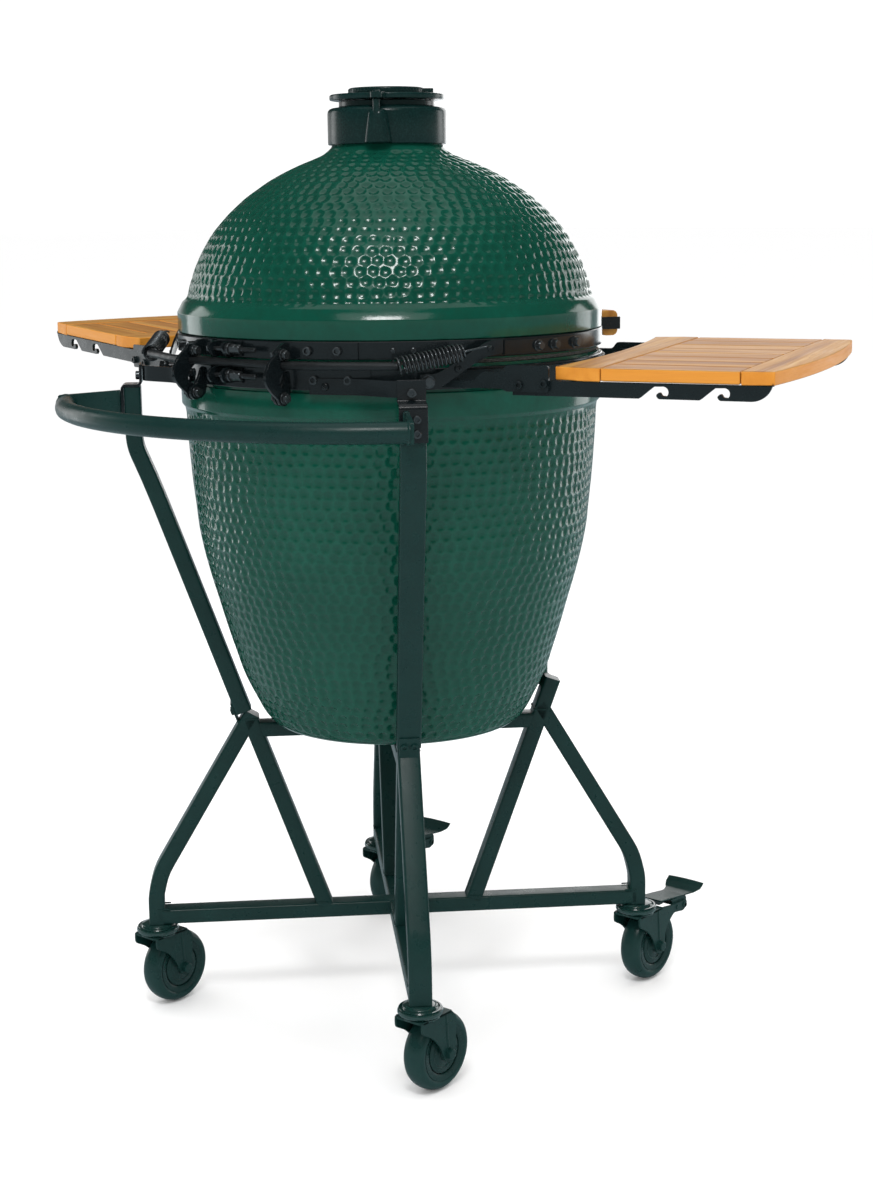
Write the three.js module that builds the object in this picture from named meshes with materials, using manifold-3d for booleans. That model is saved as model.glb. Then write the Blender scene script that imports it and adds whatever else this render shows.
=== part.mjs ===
// Kamado ceramic grill in a wheeled steel nest, with two folding side tables.
// Units are millimetres, +Z is up.  The cook stands on the -Y side; the lid
// hinge and the push handle are on the +Y side.  "left" and "right" are the
// cook's: right is +X.
import * as THREE from 'three';
import { mergeVertices } from 'three/addons/utils/BufferGeometryUtils.js';
import Module from 'manifold-3d';

const wasm = await Module();
wasm.setup();

// ---------------------------------------------------------------- dimensions
const GAP = 0.3;                 // clearance between pieces that touch
const SEG = 48;                  // facets of the big round pieces

// the axis of the egg in the row frame (the box of the whole object is centred)
const AXIS_X = 0.4;
const AXIS_Y = -35.54;

// ceramic body
const R_RIM = 266;               // band seat on base and dome
const Z_BASE_FOOT = 390.3;       // flat underside of the base
const Z_BASE_RIM = 874.5;
const Z_LID_RIM = 879.4;
const GASKET_T = 2.0;
const R_DOME_FLANGE = 270;
const R_CHIMNEY = 69;            // outside of the chimney collar
const R_CHIMNEY_BORE = 46;
const Z_CHIMNEY = 1150;

// steel bands
const BAND_T = 4;
const R_BAND = R_RIM + 0.4;
const LOWER_BAND_Z = [846, 871];
const UPPER_BAND_Z = [881.5, 902.5];

// nest frame, drawn in the vertical plane through each pair of legs
const TUBE_T = 28;               // tube size across that plane
const TUBE_W = 21;               // tube size in that plane
const Z_FRAME_FOOT = 117;        // underside of the legs, top of the casters
const S_LEG = 325;               // distance of a leg from the axis
const UPRIGHT_T = 30;
const S_UPRIGHT = 330;           // distance of the vertical top of an upright

// casters
const WHEEL_R = 49;
const WHEEL_W = 30;
const WHEEL_TRAIL = 28;
const CASTER_XY = S_LEG / Math.SQRT2;

// hinge
const HINGE_Y = 280;
const Z_LOWER_PIVOT = 838;
const Z_UPPER_PIVOT = 888;
const Z_ROD = 876.2;

// push handle
const HANDLE_Z = 813;
const HANDLE_R = 12.5;
const HANDLE_BOW = 416;

// side tables: a is the distance out from the egg, b runs towards the hinge side
const TABLE_AZ = 16;             // degrees that each table is turned to the cook
const TABLE_B0 = 20;             // middle of the table along b
const TABLE_HALF = 196;
const WOOD_T = 16;
const A_INNER = 301, A_SEAM1 = 358, A_SEAM2 = 519, A_OUTER = 557;
const TABLE_ZTOP = { left: 884.5, right: 888.0 };
const TABLE_TILT = { left: 0.0, right: 0.042 };    // rise along a
const TABLE_ROLL = { left: 0.024, right: 0.0 };    // rise away from the hinge side
const FOLD_A = 292, FOLD_Z = 856;

// ------------------------------------------------------------------- helpers
function clean(geo) {
  const g = geo.index ? geo.clone() : geo.clone();
  g.deleteAttribute('normal');
  g.deleteAttribute('uv');
  return mergeVertices(g, 1e-4);
}
function toSolid(geo) {
  const g = clean(geo);
  return new wasm.Manifold(new wasm.Mesh({
    numProp: 3,
    vertProperties: new Float32Array(g.attributes.position.array),
    triVerts: new Uint32Array(g.index.array),
  }));
}
function toGeo(solid) {
  const m = solid.getMesh();
  const pos = new Float32Array(m.numVert * 3);
  for (let i = 0; i < m.numVert; i++) {
    for (let k = 0; k < 3; k++) pos[3 * i + k] = m.vertProperties[i * m.numProp + k];
  }
  const g = new THREE.BufferGeometry();
  g.setAttribute('position', new THREE.BufferAttribute(pos, 3));
  g.setIndex(new THREE.BufferAttribute(new Uint32Array(m.triVerts), 1));
  return g;
}
function join(...geos) {
  let s = toSolid(geos[0]);
  for (let i = 1; i < geos.length; i++) s = s.add(toSolid(geos[i]));
  return toGeo(s);
}
function cut(geo, ...tools) {
  let s = toSolid(geo);
  for (const t of tools) s = s.subtract(toSolid(t));
  return toGeo(s);
}
function box(x0, x1, y0, y1, z0, z1) {
  const g = new THREE.BoxGeometry(x1 - x0, y1 - y0, z1 - z0);
  g.translate((x0 + x1) / 2, (y0 + y1) / 2, (z0 + z1) / 2);
  return g;
}
// a body of revolution about Z; the profile is [radius, z] from bottom to top
function lathe(profile, seg = SEG) {
  const pts = profile.map(([r, z]) => new THREE.Vector2(r, z));
  const g = new THREE.LatheGeometry(pts, seg);
  g.rotateX(Math.PI / 2);
  return g;
}
// a closed outline [u, v] pushed along +Z by depth
function slab(outline, depth, holes = []) {
  const shape = new THREE.Shape(outline.map(([u, v]) => new THREE.Vector2(u, v)));
  for (const h of holes) shape.holes.push(new THREE.Path(h.map(([u, v]) => new THREE.Vector2(u, v))));
  return new THREE.ExtrudeGeometry(shape, { depth, bevelEnabled: false });
}
// the same outline standing in the YZ plane between x0 and x1
function slabYZ(outline, x0, x1, holes = []) {
  const g = slab(outline, x1 - x0, holes);
  const m = new THREE.Matrix4().set(0, 0, 1, x0, 1, 0, 0, 0, 0, 1, 0, 0, 0, 0, 0, 1);
  g.applyMatrix4(m);
  return g;
}
// an outline [s, z] in the vertical plane at azimuth az (degrees from +X), width t
function slabRadial(outline, t, az) {
  const g = slabYZ(outline, -t / 2, t / 2);       // x is across, y is s
  g.rotateZ(THREE.MathUtils.degToRad(az - 90));
  return g;
}
// part of a ring between two azimuths (degrees from +X, anticlockwise)
function sector(r0, r1, a0, a1, z0, z1, step = 7.5) {
  const n = Math.max(1, Math.round(Math.abs(a1 - a0) / step));
  const out = [];
  for (let i = 0; i <= n; i++) {
    const a = THREE.MathUtils.degToRad(a0 + (a1 - a0) * i / n);
    out.push([r1 * Math.cos(a), r1 * Math.sin(a)]);
  }
  for (let i = n; i >= 0; i--) {
    const a = THREE.MathUtils.degToRad(a0 + (a1 - a0) * i / n);
    out.push([r0 * Math.cos(a), r0 * Math.sin(a)]);
  }
  const g = slab(out, z1 - z0);
  g.translate(0, 0, z0);
  return g;
}
function circlePts(cu, cv, r, n = 12, a0 = 0, a1 = 360) {
  const full = Math.abs(a1 - a0) >= 360;
  const pts = [];
  for (let i = 0; i < n + (full ? 0 : 1); i++) {
    const a = THREE.MathUtils.degToRad(a0 + (a1 - a0) * i / n);
    pts.push([cu + r * Math.cos(a), cv + r * Math.sin(a)]);
  }
  return pts;
}
// the outline of a bar of width w that follows a polyline in 2-D
function barOutline(path, w) {
  const L = [], R = [];
  for (let i = 0; i < path.length; i++) {
    const p = path[i];
    const a = path[Math.max(0, i - 1)], b = path[Math.min(path.length - 1, i + 1)];
    let n;
    if (i === 0 || i === path.length - 1) {
      const dx = b[0] - a[0], dy = b[1] - a[1], l = Math.hypot(dx, dy);
      n = [-dy / l, dx / l];
    } else {
      const d1 = [p[0] - a[0], p[1] - a[1]], d2 = [b[0] - p[0], b[1] - p[1]];
      const l1 = Math.hypot(...d1), l2 = Math.hypot(...d2);
      const n1 = [-d1[1] / l1, d1[0] / l1], n2 = [-d2[1] / l2, d2[0] / l2];
      const m = [n1[0] + n2[0], n1[1] + n2[1]];
      const k = 2 / (m[0] * m[0] + m[1] * m[1]);
      n = [m[0] * k, m[1] * k];
    }
    L.push([p[0] + n[0] * w / 2, p[1] + n[1] * w / 2]);
    R.push([p[0] - n[0] * w / 2, p[1] - n[1] * w / 2]);
  }
  return L.concat(R.reverse());
}
// a round bar between two points
function rod(p, q, r, n = 12) {
  const a = new THREE.Vector3(...p), b = new THREE.Vector3(...q);
  const g = new THREE.CylinderGeometry(r, r, a.distanceTo(b), n);
  const d = b.clone().sub(a).normalize();
  g.applyQuaternion(new THREE.Quaternion().setFromUnitVectors(new THREE.Vector3(0, 1, 0), d));
  const m = a.add(b).multiplyScalar(0.5);
  g.translate(m.x, m.y, m.z);
  return g;
}
function mirrorX(geo) {
  const g = geo.index ? geo.clone() : clean(geo);
  g.applyMatrix4(new THREE.Matrix4().makeScale(-1, 1, 1));
  const idx = g.index.array;
  for (let i = 0; i < idx.length; i += 3) { const t = idx[i]; idx[i] = idx[i + 1]; idx[i + 1] = t; }
  return g;
}

const part = new THREE.Group();
const egg = new THREE.Group();
egg.position.set(AXIS_X, AXIS_Y, 0);
part.add(egg);

const look = {
  ceramic: { color: 0x0d4a35, roughness: 0.16, metalness: 0 },
  terracotta: { color: 0xb8a58c, roughness: 0.85, metalness: 0 },
  felt: { color: 0x3a3a38, roughness: 0.95, metalness: 0 },
  castiron: { color: 0x17261f, roughness: 0.5, metalness: 0.6 },
  powder: { color: 0x15362f, roughness: 0.42, metalness: 0.5 },
  black: { color: 0x101416, roughness: 0.3, metalness: 0.6 },
  bar: { color: 0x22292a, roughness: 0.45, metalness: 0.6 },
  steel: { color: 0xa9adab, roughness: 0.32, metalness: 1 },
  wood: { color: 0xb9834a, roughness: 0.55, metalness: 0 },
  wheel: { color: 0x16312a, roughness: 0.5, metalness: 0 },
};
function add(name, geo, kind, parent = egg) {
  const mesh = new THREE.Mesh(geo, new THREE.MeshStandardMaterial(look[kind]));
  mesh.name = name;
  parent.add(mesh);
  return mesh;
}

// -------------------------------------------------------------- ceramic base
// molded pad around the draft opening at the front, low down
const DOOR_AZ = 270;
{
  const outer = [[0, Z_BASE_FOOT], [148, Z_BASE_FOOT], [160, 394], [172, 405], [182, 422],
    [198.5, 456.9], [219.1, 522.1], [237.5, 586.5], [245.4, 618.4], [251.3, 650], [257.8, 712.7],
    [262.6, 775], [263.8, 803], [268, 812], [268.6, 842], [R_RIM, 842.5], [R_RIM, Z_BASE_RIM]];
  const inner = [[240, Z_BASE_RIM], [233, 740], [226, 660], [214, 590], [198, 530],
    [180, 470], [163, 432], [150, 418], [0, 418]];
  let g = lathe(outer.concat(inner));
  g = join(g, sector(172, 207, DOOR_AZ - 39, DOOR_AZ + 39, 423, 483, 6));
  g = cut(g, sector(110, 230, DOOR_AZ - 15, DOOR_AZ + 15, 432, 474, 6),
    lathe([[0, 418], [150, 418], [163, 432], [180, 470], [186, 484], [0, 484]], SEG));
  add('base_shell', g, 'ceramic');
}

// draft door: curved frame with a window and two pairs of rails
{
  const A = 37;
  let g = sector(207.6, 209.6, DOOR_AZ - A, DOOR_AZ + A, 426, 480, 6);
  g = join(g,
    sector(208.6, 218, DOOR_AZ - A, DOOR_AZ + A, 426, 429, 6),
    sector(208.6, 218, DOOR_AZ - A, DOOR_AZ + A, 477, 480, 6));
  g = cut(g, sector(200, 214, DOOR_AZ - 14, DOOR_AZ + 14, 434, 472, 7));
  add('draft_door_frame', g, 'steel');
  // perforated screen nearest the ceramic, solid door outside it
  let s = sector(210.4, 211.6, DOOR_AZ - 17, DOOR_AZ + 17, 429.5, 476.5, 5.667);
  add('draft_screen', s, 'steel');
  let d = join(sector(213, 214.4, DOOR_AZ - 17, DOOR_AZ + 17, 429.5, 476.5, 5.667),
    sector(213.6, 222, DOOR_AZ - 15.6, DOOR_AZ - 14.6, 442, 464, 1));
  add('draft_door', d, 'steel');
}

// ------------------------------------------------------------ inside the base
{
  // thick-walled bowl that holds the charcoal, open towards the draft door
  let fb = lathe([[0, 418.4], [128, 418.4], [142, 432], [158, 470], [176, 530], [193, 612],
    [172, 612], [154, 530], [137, 480], [120, 448], [0, 448]], 40);
  fb = cut(fb, sector(90, 200, DOOR_AZ - 14, DOOR_AZ + 14, 428, 462, 7),
    lathe([[0, 400], [40, 400], [40, 460], [0, 460]], 16));
  add('firebox', fb, 'terracotta');
  let fr = lathe([[176, 612.4], [193, 612.4], [208, 680], [216, 752], [196, 752], [190, 680], [176, 612.4]], 40);
  add('fire_ring', fr, 'terracotta');
  // cast grate in the bottom of the firebox
  let gr = lathe([[0, 481], [133, 481], [133, 487], [0, 487]]);
  const slots = [];
  for (let k = -3; k <= 3; k++) slots.push(box(k * 30 - 6, k * 30 + 6, -78 + Math.abs(k) * 10, 78 - Math.abs(k) * 10, 470, 500));
  add('fire_grate', cut(gr, ...slots), 'castiron');
  // round cooking grid, resting on the fire ring
  const ring = lathe([[217, 752.6], [225, 752.6], [225, 760.6], [217, 760.6], [217, 752.6]]);
  const bars = [];
  for (let k = -6; k <= 6; k++) {
    const x = k * 32, h = Math.sqrt(221 * 221 - x * x);
    bars.push(box(x - 2.5, x + 2.5, -h, h, 754, 759));
  }
  bars.push(box(-219, 219, -4, 4, 753, 757));
  add('cooking_grid', join(ring, ...bars), 'steel');
}

// --------------------------------------------------------- gaskets and bands
add('lower_gasket', lathe([[243, Z_BASE_RIM + GAP], [263, Z_BASE_RIM + GAP],
  [263, Z_BASE_RIM + GAP + GASKET_T], [243, Z_BASE_RIM + GAP + GASKET_T], [243, Z_BASE_RIM + GAP]]), 'felt');
add('upper_gasket', lathe([[243, Z_LID_RIM - GAP - GASKET_T], [263, Z_LID_RIM - GAP - GASKET_T],
  [263, Z_LID_RIM - GAP], [243, Z_LID_RIM - GAP], [243, Z_LID_RIM - GAP - GASKET_T]]), 'felt');
for (const [name, z] of [['lower_band', LOWER_BAND_Z], ['upper_band', UPPER_BAND_Z]]) {
  add(name, lathe([[R_BAND, z[0]], [R_BAND + BAND_T, z[0]], [R_BAND + BAND_T, z[1]], [R_BAND, z[1]], [R_BAND, z[0]]]), 'black');
}
const RB = R_BAND + BAND_T;      // outside of both bands

// ---------------------------------------------------------------------- dome
const THERMO = { s: 247.5, z: 985, tilt: 24 };
{
  const outer = [[240, Z_LID_RIM], [R_RIM, Z_LID_RIM], [R_RIM, 903], [R_DOME_FLANGE, 903.2], [R_DOME_FLANGE, 926.5],
    [264.5, 938.5], [257, 946], [254, 958], [247.2, 978.1], [238, 998], [226.4, 1017.9], [211, 1037.7], [191.4, 1057.4],
    [166, 1077.2], [133, 1097], [97, 1112.5], [75.2, 1121.7], [R_CHIMNEY, 1127.5], [R_CHIMNEY, Z_CHIMNEY]];
  const inner = [[R_CHIMNEY_BORE, Z_CHIMNEY], [R_CHIMNEY_BORE, 1108], [100, 1089], [150, 1061],
    [190, 1023], [220, 974], [236, 925], [240, Z_LID_RIM]];
  let g = lathe(outer.concat(inner));
  const hole = rod([0, 0, 0], [0, 0, 100], 5.5, 12);
  hole.rotateX(THREE.MathUtils.degToRad(90 - THERMO.tilt));
  hole.translate(0, -THERMO.s + 50, THERMO.z - 22);
  g = cut(g, hole);
  add('dome_shell', g, 'ceramic');
  // dial thermometer with its probe
  const t = lathe([[0, -85], [3, -85], [3, 0.6], [11, 0.6], [11, 4], [27, 4], [28.5, 6], [28.5, 15], [25.5, 18], [24.5, 16], [0, 16]], 24);
  t.rotateX(THREE.MathUtils.degToRad(90 - THERMO.tilt));
  t.translate(0, -THERMO.s - 1.2, THERMO.z + 0.5);
  add('thermometer', t, 'steel');
}

// ------------------------------------------------------------------ vent cap
const CAP_PIVOT = { r: 83, az: 122 };          // azimuth from +X
{
  const a = THREE.MathUtils.degToRad(CAP_PIVOT.az);
  const px = CAP_PIVOT.r * Math.cos(a), py = CAP_PIVOT.r * Math.sin(a);
  // ring that sleeves over the chimney, with a lug for the pivot pin
  let ring = lathe([[69.6, 1130.5], [74.5, 1130.5], [75, 1132], [75, 1171], [73, 1174.5], [60, 1176.5], [60, 1183.5], [50, 1183.5],
    [50, 1151.5], [69.6, 1151.5], [69.6, 1130.5]], 36);
  const lug = rod([px, py, 1134], [px, py, 1183.5], 9, 12);
  const web = box(-9, 9, 66, 83, 1134, 1171);
  web.rotateZ(a - Math.PI / 2);
  add('vent_cap_ring', cut(join(ring, lug, web), rod([0, 0, 1100], [0, 0, 1151.4], 69.6, 36)), 'castiron');
  // swing-away disc with fan-shaped air holes
  let disc = lathe([[0, 1184.5], [68, 1184.5], [72, 1186.5], [72, 1191], [70, 1192], [0, 1192]], 36);
  const ear = rod([px, py, 1184.5], [px, py, 1192], 11, 12);
  const neck = box(-11, 11, 60, 83, 1184.5, 1191.5);
  neck.rotateZ(a - Math.PI / 2);
  const fans = [];
  for (let k = 0; k < 5; k++) fans.push(sector(16, 36, 72 * k, 72 * k + 34, 1180, 1200, 17));
  add('vent_disc', cut(join(disc, ear, neck), ...fans), 'castiron');
  // daisy wheel that turns on the disc, with a thumb tab
  let dial = lathe([[0, 1192.6], [46, 1192.6], [48, 1194], [48, 1198], [46, 1200], [14, 1200], [12, 1201.5], [0, 1201.5]], 36);
  const tab = box(-8, 8, 44, 58, 1193.5, 1199);
  tab.rotateZ(THREE.MathUtils.degToRad(220.9 - 90));
  const fan2 = [];
  for (let k = 0; k < 5; k++) fan2.push(sector(17, 35, 72 * k + 37, 72 * k + 69, 1180, 1210, 16));
  add('vent_dial', cut(join(dial, tab), ...fan2), 'castiron');
}

// --------------------------------------------------------------------- hinge
{
  // upper bracket: plate on the upper band and two pairs of lugs
  const up = [sector(RB + GAP, RB + 4.3, 57, 123, 882, 902, 5.5)];
  const lo = [sector(RB + GAP, RB + 4.3, 54, 126, 846.5, 870.5, 6)];
  for (const s of [-1, 1]) {
    const x0 = s > 0 ? 68 : -72, x1 = s > 0 ? 72 : -68;
    up.push(slabYZ([[256, 883], [274, 881.8], ...circlePts(HINGE_Y, Z_UPPER_PIVOT, 6.5, 6, -90, 60), [276, 899.5], [270, 902], [256, 902]], x0, x1));
    lo.push(slabYZ([[256, 847], [266, 832], [274, 829.8], ...circlePts(HINGE_Y, Z_LOWER_PIVOT, 9, 6, -75, 90), [272, 860], [266, 870], [256, 870]], x0, x1));
  }
  const inside = rod([0, 0, 820], [0, 0, 920], RB + 0.3, SEG);
  let U = join(...up), L = join(...lo);
  // hollow out whatever would reach into the bands
  inside.rotateZ(Math.PI / 2);
  U = cut(U, inside); L = cut(L, inside);
  // pivot pins
  for (const s of [-1, 1]) {
    U = join(U, rod([s * 66, HINGE_Y, Z_UPPER_PIVOT], [s * 82, HINGE_Y, Z_UPPER_PIVOT], 3.2, 12));
    L = join(L, rod([s * 66, HINGE_Y, Z_LOWER_PIVOT], [s * 82, HINGE_Y, Z_LOWER_PIVOT], 3.2, 12));
  }
  add('hinge_upper_bracket', U, 'black');
  add('hinge_lower_bracket', L, 'black');
  // each link is one bowed plate on the outer ends of the pins
  for (const s of [-1, 1]) {
    const name = s > 0 ? 'hinge_link_right' : 'hinge_link_left';
    const out = [
      ...circlePts(HINGE_Y, Z_UPPER_PIVOT, 8.5, 6, 20, 190),
      [271.5, 873], [278, 868.6], [284.5, 863], [286.5, 857], [284, 850.5], [278, 847.6],
      ...circlePts(HINGE_Y, Z_LOWER_PIVOT, 9.4, 6, 100, 350),
      [301, 846], [309, 856], [309.5, 868], [302, 881]];
    const hole = [circlePts(HINGE_Y, Z_UPPER_PIVOT, 3.5, 12), circlePts(HINGE_Y, Z_LOWER_PIVOT, 3.5, 12), circlePts(HINGE_Y, Z_ROD, 5.1, 12)];
    const g = slabYZ(out, s > 0 ? 74 : -78, s > 0 ? 78 : -74, hole);
    add(name, g, 'black');
  }
}
// one bent rod ties the two links and carries a spring at each end
const ROD_END = [205, 226, Z_ROD];
const SPRING_TO = [272, 135, 897];
{
  const path = [[-ROD_END[0], ROD_END[1]], [-120, 268], [-82, HINGE_Y], [82, HINGE_Y], [120, 268], [ROD_END[0], ROD_END[1]]]
    .map(([x, y]) => [x, y, Z_ROD]);
  const bits = [];
  for (let i = 0; i + 1 < path.length; i++) bits.push(rod(path[i], path[i + 1], 4.8, 8));
  for (let i = 1; i + 1 < path.length; i++) { const b = new THREE.SphereGeometry(4.8, 8, 4); b.translate(...path[i]); bits.push(b); }
  add('hinge_spring_rod', join(...bits), 'black');
  for (const s of [1, -1]) {
    const a = new THREE.Vector3(s * ROD_END[0], ROD_END[1], Z_ROD);
    const b = new THREE.Vector3(s * SPRING_TO[0], SPRING_TO[1], SPRING_TO[2]);
    const d = b.clone().sub(a).normalize();
    const p = a.clone().addScaledVector(d, 8), m = a.clone().addScaledVector(d, 82), q = b.clone().addScaledVector(d, -2);
    add(s > 0 ? 'spring_right' : 'spring_left', join(rod(p.toArray(), m.toArray(), 11.6, 12), rod(m.clone().addScaledVector(d, -2).toArray(), q.toArray(), 3.5, 8)), 'black');
  }
}
// curved anchor arms of the springs, bolted to the lower band
{
  const r0 = 284, r1 = 287;
  // centre line of the arm: azimuth from +Y, height, half height
  const mid = [[47.6, 856, 9], [51, 857, 9], [56, 870, 8.5], [60, 882, 8], [64, 892, 8.5], [68, 895, 8]];
  for (const s of [-1, 1]) {
    const pos = [], idx = [];
    for (const [azd, z, h] of mid) {
      const a = THREE.MathUtils.degToRad(azd);
      for (const [r, zz] of [[r0, z - h], [r1, z - h], [r1, z + h], [r0, z + h]]) pos.push(-r * Math.sin(a), r * Math.cos(a), zz);
    }
    for (let i = 0; i < mid.length - 1; i++) for (let k = 0; k < 4; k++) {
      const a = 4 * i + k, b = 4 * i + (k + 1) % 4, c = a + 4, d = b + 4;
      idx.push(a, c, b, b, c, d);
    }
    const e = 4 * (mid.length - 1);
    idx.push(0, 1, 2, 0, 2, 3, e, e + 2, e + 1, e, e + 3, e + 2);
    let m = new wasm.Manifold(new wasm.Mesh({ numProp: 3, vertProperties: new Float32Array(pos), triVerts: new Uint32Array(idx) }));
    let g = toGeo(m);
    // spacer block that carries the arm on the lower band
    const az = 49.4;
    const blk = box(-7, 7, RB + GAP + 0.6, 285.5, 849, 863);
    blk.rotateZ(THREE.MathUtils.degToRad(az));
    g = join(g, blk);
    if (s > 0) g = mirrorX(g);
    add(s > 0 ? 'spring_arm_right' : 'spring_arm_left', g, 'black');
  }
}
// ---------------------------------------------------------------- lid handle
{
  const F = 270;
  add('lid_handle_grip', sector(306, 331, F - 27, F + 27, 880, 915, 6), 'wood');
  let g = sector(301.5, 305.6, F - 27.5, F + 27.5, 889, 906, 6.1);
  for (const s of [-1, 1]) {
    g = join(g, sector(301.5, 330, F + s * 27.2, F + s * 28.2, 889, 906, 2));
    g = join(g, sector(RB + 0.5, 303, F + s * 15 - 1, F + s * 15 + 1, 883, 901, 2),
      sector(RB + 0.5, RB + 4, F + s * 15 - 5, F + s * 15 + 5, 883, 901, 2.5));
  }
  add('lid_handle_bracket', g, 'bar');
}

// --------------------------------------------------------------- nest frames
// one frame lies in the plane through azimuth 45/225, the other through 135/315
{
  const half = TUBE_T / 2;
  const zr = Z_FRAME_FOOT;                       // underside of the bottom rail
  const leg = [[S_LEG, zr], [S_LEG, 148], [322.5, 168], [315, 193], [190.5, 402]];
  const brace = [[100, 134], [193.5, 394]];
  const uprightStub = [[100, 134], [208.5, 436]];
  function frame(front, lap) {
    // right half carries the rear (or front) leg at +s
    const bars = [];
    const both = (fn) => { bars.push(fn(1)); bars.push(fn(-1)); };
    const flip = (pts, s) => (s > 0 ? pts : pts.map(([u, v]) => [-u, v]).reverse());
    both((s) => slabYZ(flip(barOutline(leg, TUBE_W), s), -half, half));
    bars.push(slabYZ(flip(barOutline(brace, TUBE_W), 1), -half, half));
    bars.push(slabYZ(flip(barOutline(uprightStub, TUBE_W), -1), -half, half));
    bars.push(box(-half, half, -S_LEG, S_LEG, zr, zr + 20));
    bars.push(box(-half, half, -190, 190, 370, 390));
    let g = join(...bars);
    // trim what stands above the junction on the rear side and keep the foot flat
    g = cut(g, box(-50, 50, 150, 260, 404, 470));
    // halving joints where the two frames cross
    const w = half + GAP;
    if (lap === 'top') g = cut(g, box(-w - 30, w + 30, -w, w, zr + 10 - GAP / 2, 200), box(-w - 30, w + 30, -w, w, 380 - GAP / 2, 420));
    else g = cut(g, box(-w - 30, w + 30, -w, w, 100, zr + 10 + GAP / 2), box(-w - 30, w + 30, -w, w, 340, 380 + GAP / 2));
    return g;
  }
  // +s of each frame points to its rear leg
  const fr = frame(0, 'top'); fr.rotateZ(THREE.MathUtils.degToRad(45 - 90));
  add('nest_frame_a', fr, 'powder');
  const fl = frame(0, 'bottom'); fl.rotateZ(THREE.MathUtils.degToRad(135 - 90));
  add('nest_frame_b', fl, 'powder');
}
// rear uprights, bolted on top of the frames
for (const [side, az] of [['right', 45], ['left', 135]]) {
  const path = [[201.6, 404.6], [300, 683], [318, 728], [326, 752], [S_UPRIGHT, 778], [S_UPRIGHT, 833.5]];
  let g = slabRadial(barOutline(path, TUBE_W), UPRIGHT_T, az);
  g = cut(g, (() => { const b = box(-40, 40, 150, 260, 380, 404.6); b.rotateZ(THREE.MathUtils.degToRad(az - 90)); return b; })());
  add('upright_' + side, g, 'powder');
  // joggled bracket: lower part on the upright, upper part towards the strap
  const z = [[317, 862.5], [317, 834], [341, 834], [341, 793], [344.5, 793], [344.5, 837.5], [320.5, 837.5], [320.5, 862.5]];
  add('leg_bracket_' + side, slabRadial(z.slice().reverse(), 33, az), 'black');
  // strap from the bracket to the hinge plate
  const sgn = side === 'right' ? 1 : -1;
  const t0 = THREE.MathUtils.degToRad(az), R0 = RB + 4.7;
  const pt = (s, t) => [s * Math.cos(t0) - t * Math.sin(t0), s * Math.sin(t0) + t * Math.cos(t0)];
  const onBand = (deg, r) => { const a = THREE.MathUtils.degToRad(90 - sgn * deg); return [r * Math.cos(a), r * Math.sin(a)]; };
  const pl = [onBand(21, R0 + 2.6), onBand(27, R0 + 2.4), onBand(33, R0 + 4.6), pt(314.9, sgn * 19), pt(314.9, -sgn * 13)];
  const st = slab(side === 'right' ? barOutline(pl, 3).reverse() : barOutline(pl, 3), 19);
  st.translate(0, 0, 842);
  add('hinge_strap_' + side, st, 'black');
}

// --------------------------------------------------------------- push handle
{
  // one bow of tube that ends square on two plates, which stand out from the leg brackets
  const v = (r, azd) => new THREE.Vector3(r * Math.cos(THREE.MathUtils.degToRad(azd)), r * Math.sin(THREE.MathUtils.degToRad(azd)), HANDLE_Z);
  const half = [v(413.4, 46.4), v(414, 49), v(415, 53), v(HANDLE_BOW, 58), v(HANDLE_BOW, 66), v(HANDLE_BOW, 74), v(HANDLE_BOW, 82)];
  const pts = half.concat([v(HANDLE_BOW, 90)], half.slice().reverse().map((p) => new THREE.Vector3(-p.x, p.y, p.z)));
  const curve = new THREE.CatmullRomCurve3(pts, false, 'centripetal');
  const n = 10, sec = new THREE.Shape(circlePts(0, 0, HANDLE_R, n).map(([a, b]) => new THREE.Vector2(a, b)));
  let g = new THREE.ExtrudeGeometry(sec, { steps: 42, extrudePath: curve, bevelEnabled: false });
  for (const [az, sg] of [[45, 1], [135, -1]]) {
    const arm = [[345.1, 796.5], [424, 800.8], [424, 825.2], [345.1, 830.5]];
    const p = slabRadial(arm, 4.6, az);
    const t = THREE.MathUtils.degToRad(az);
    p.translate(-Math.sin(t) * 8.2 * sg, Math.cos(t) * 8.2 * sg, 0);
    g = join(g, p);
  }
  add('push_handle', g, 'powder');
}

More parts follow.
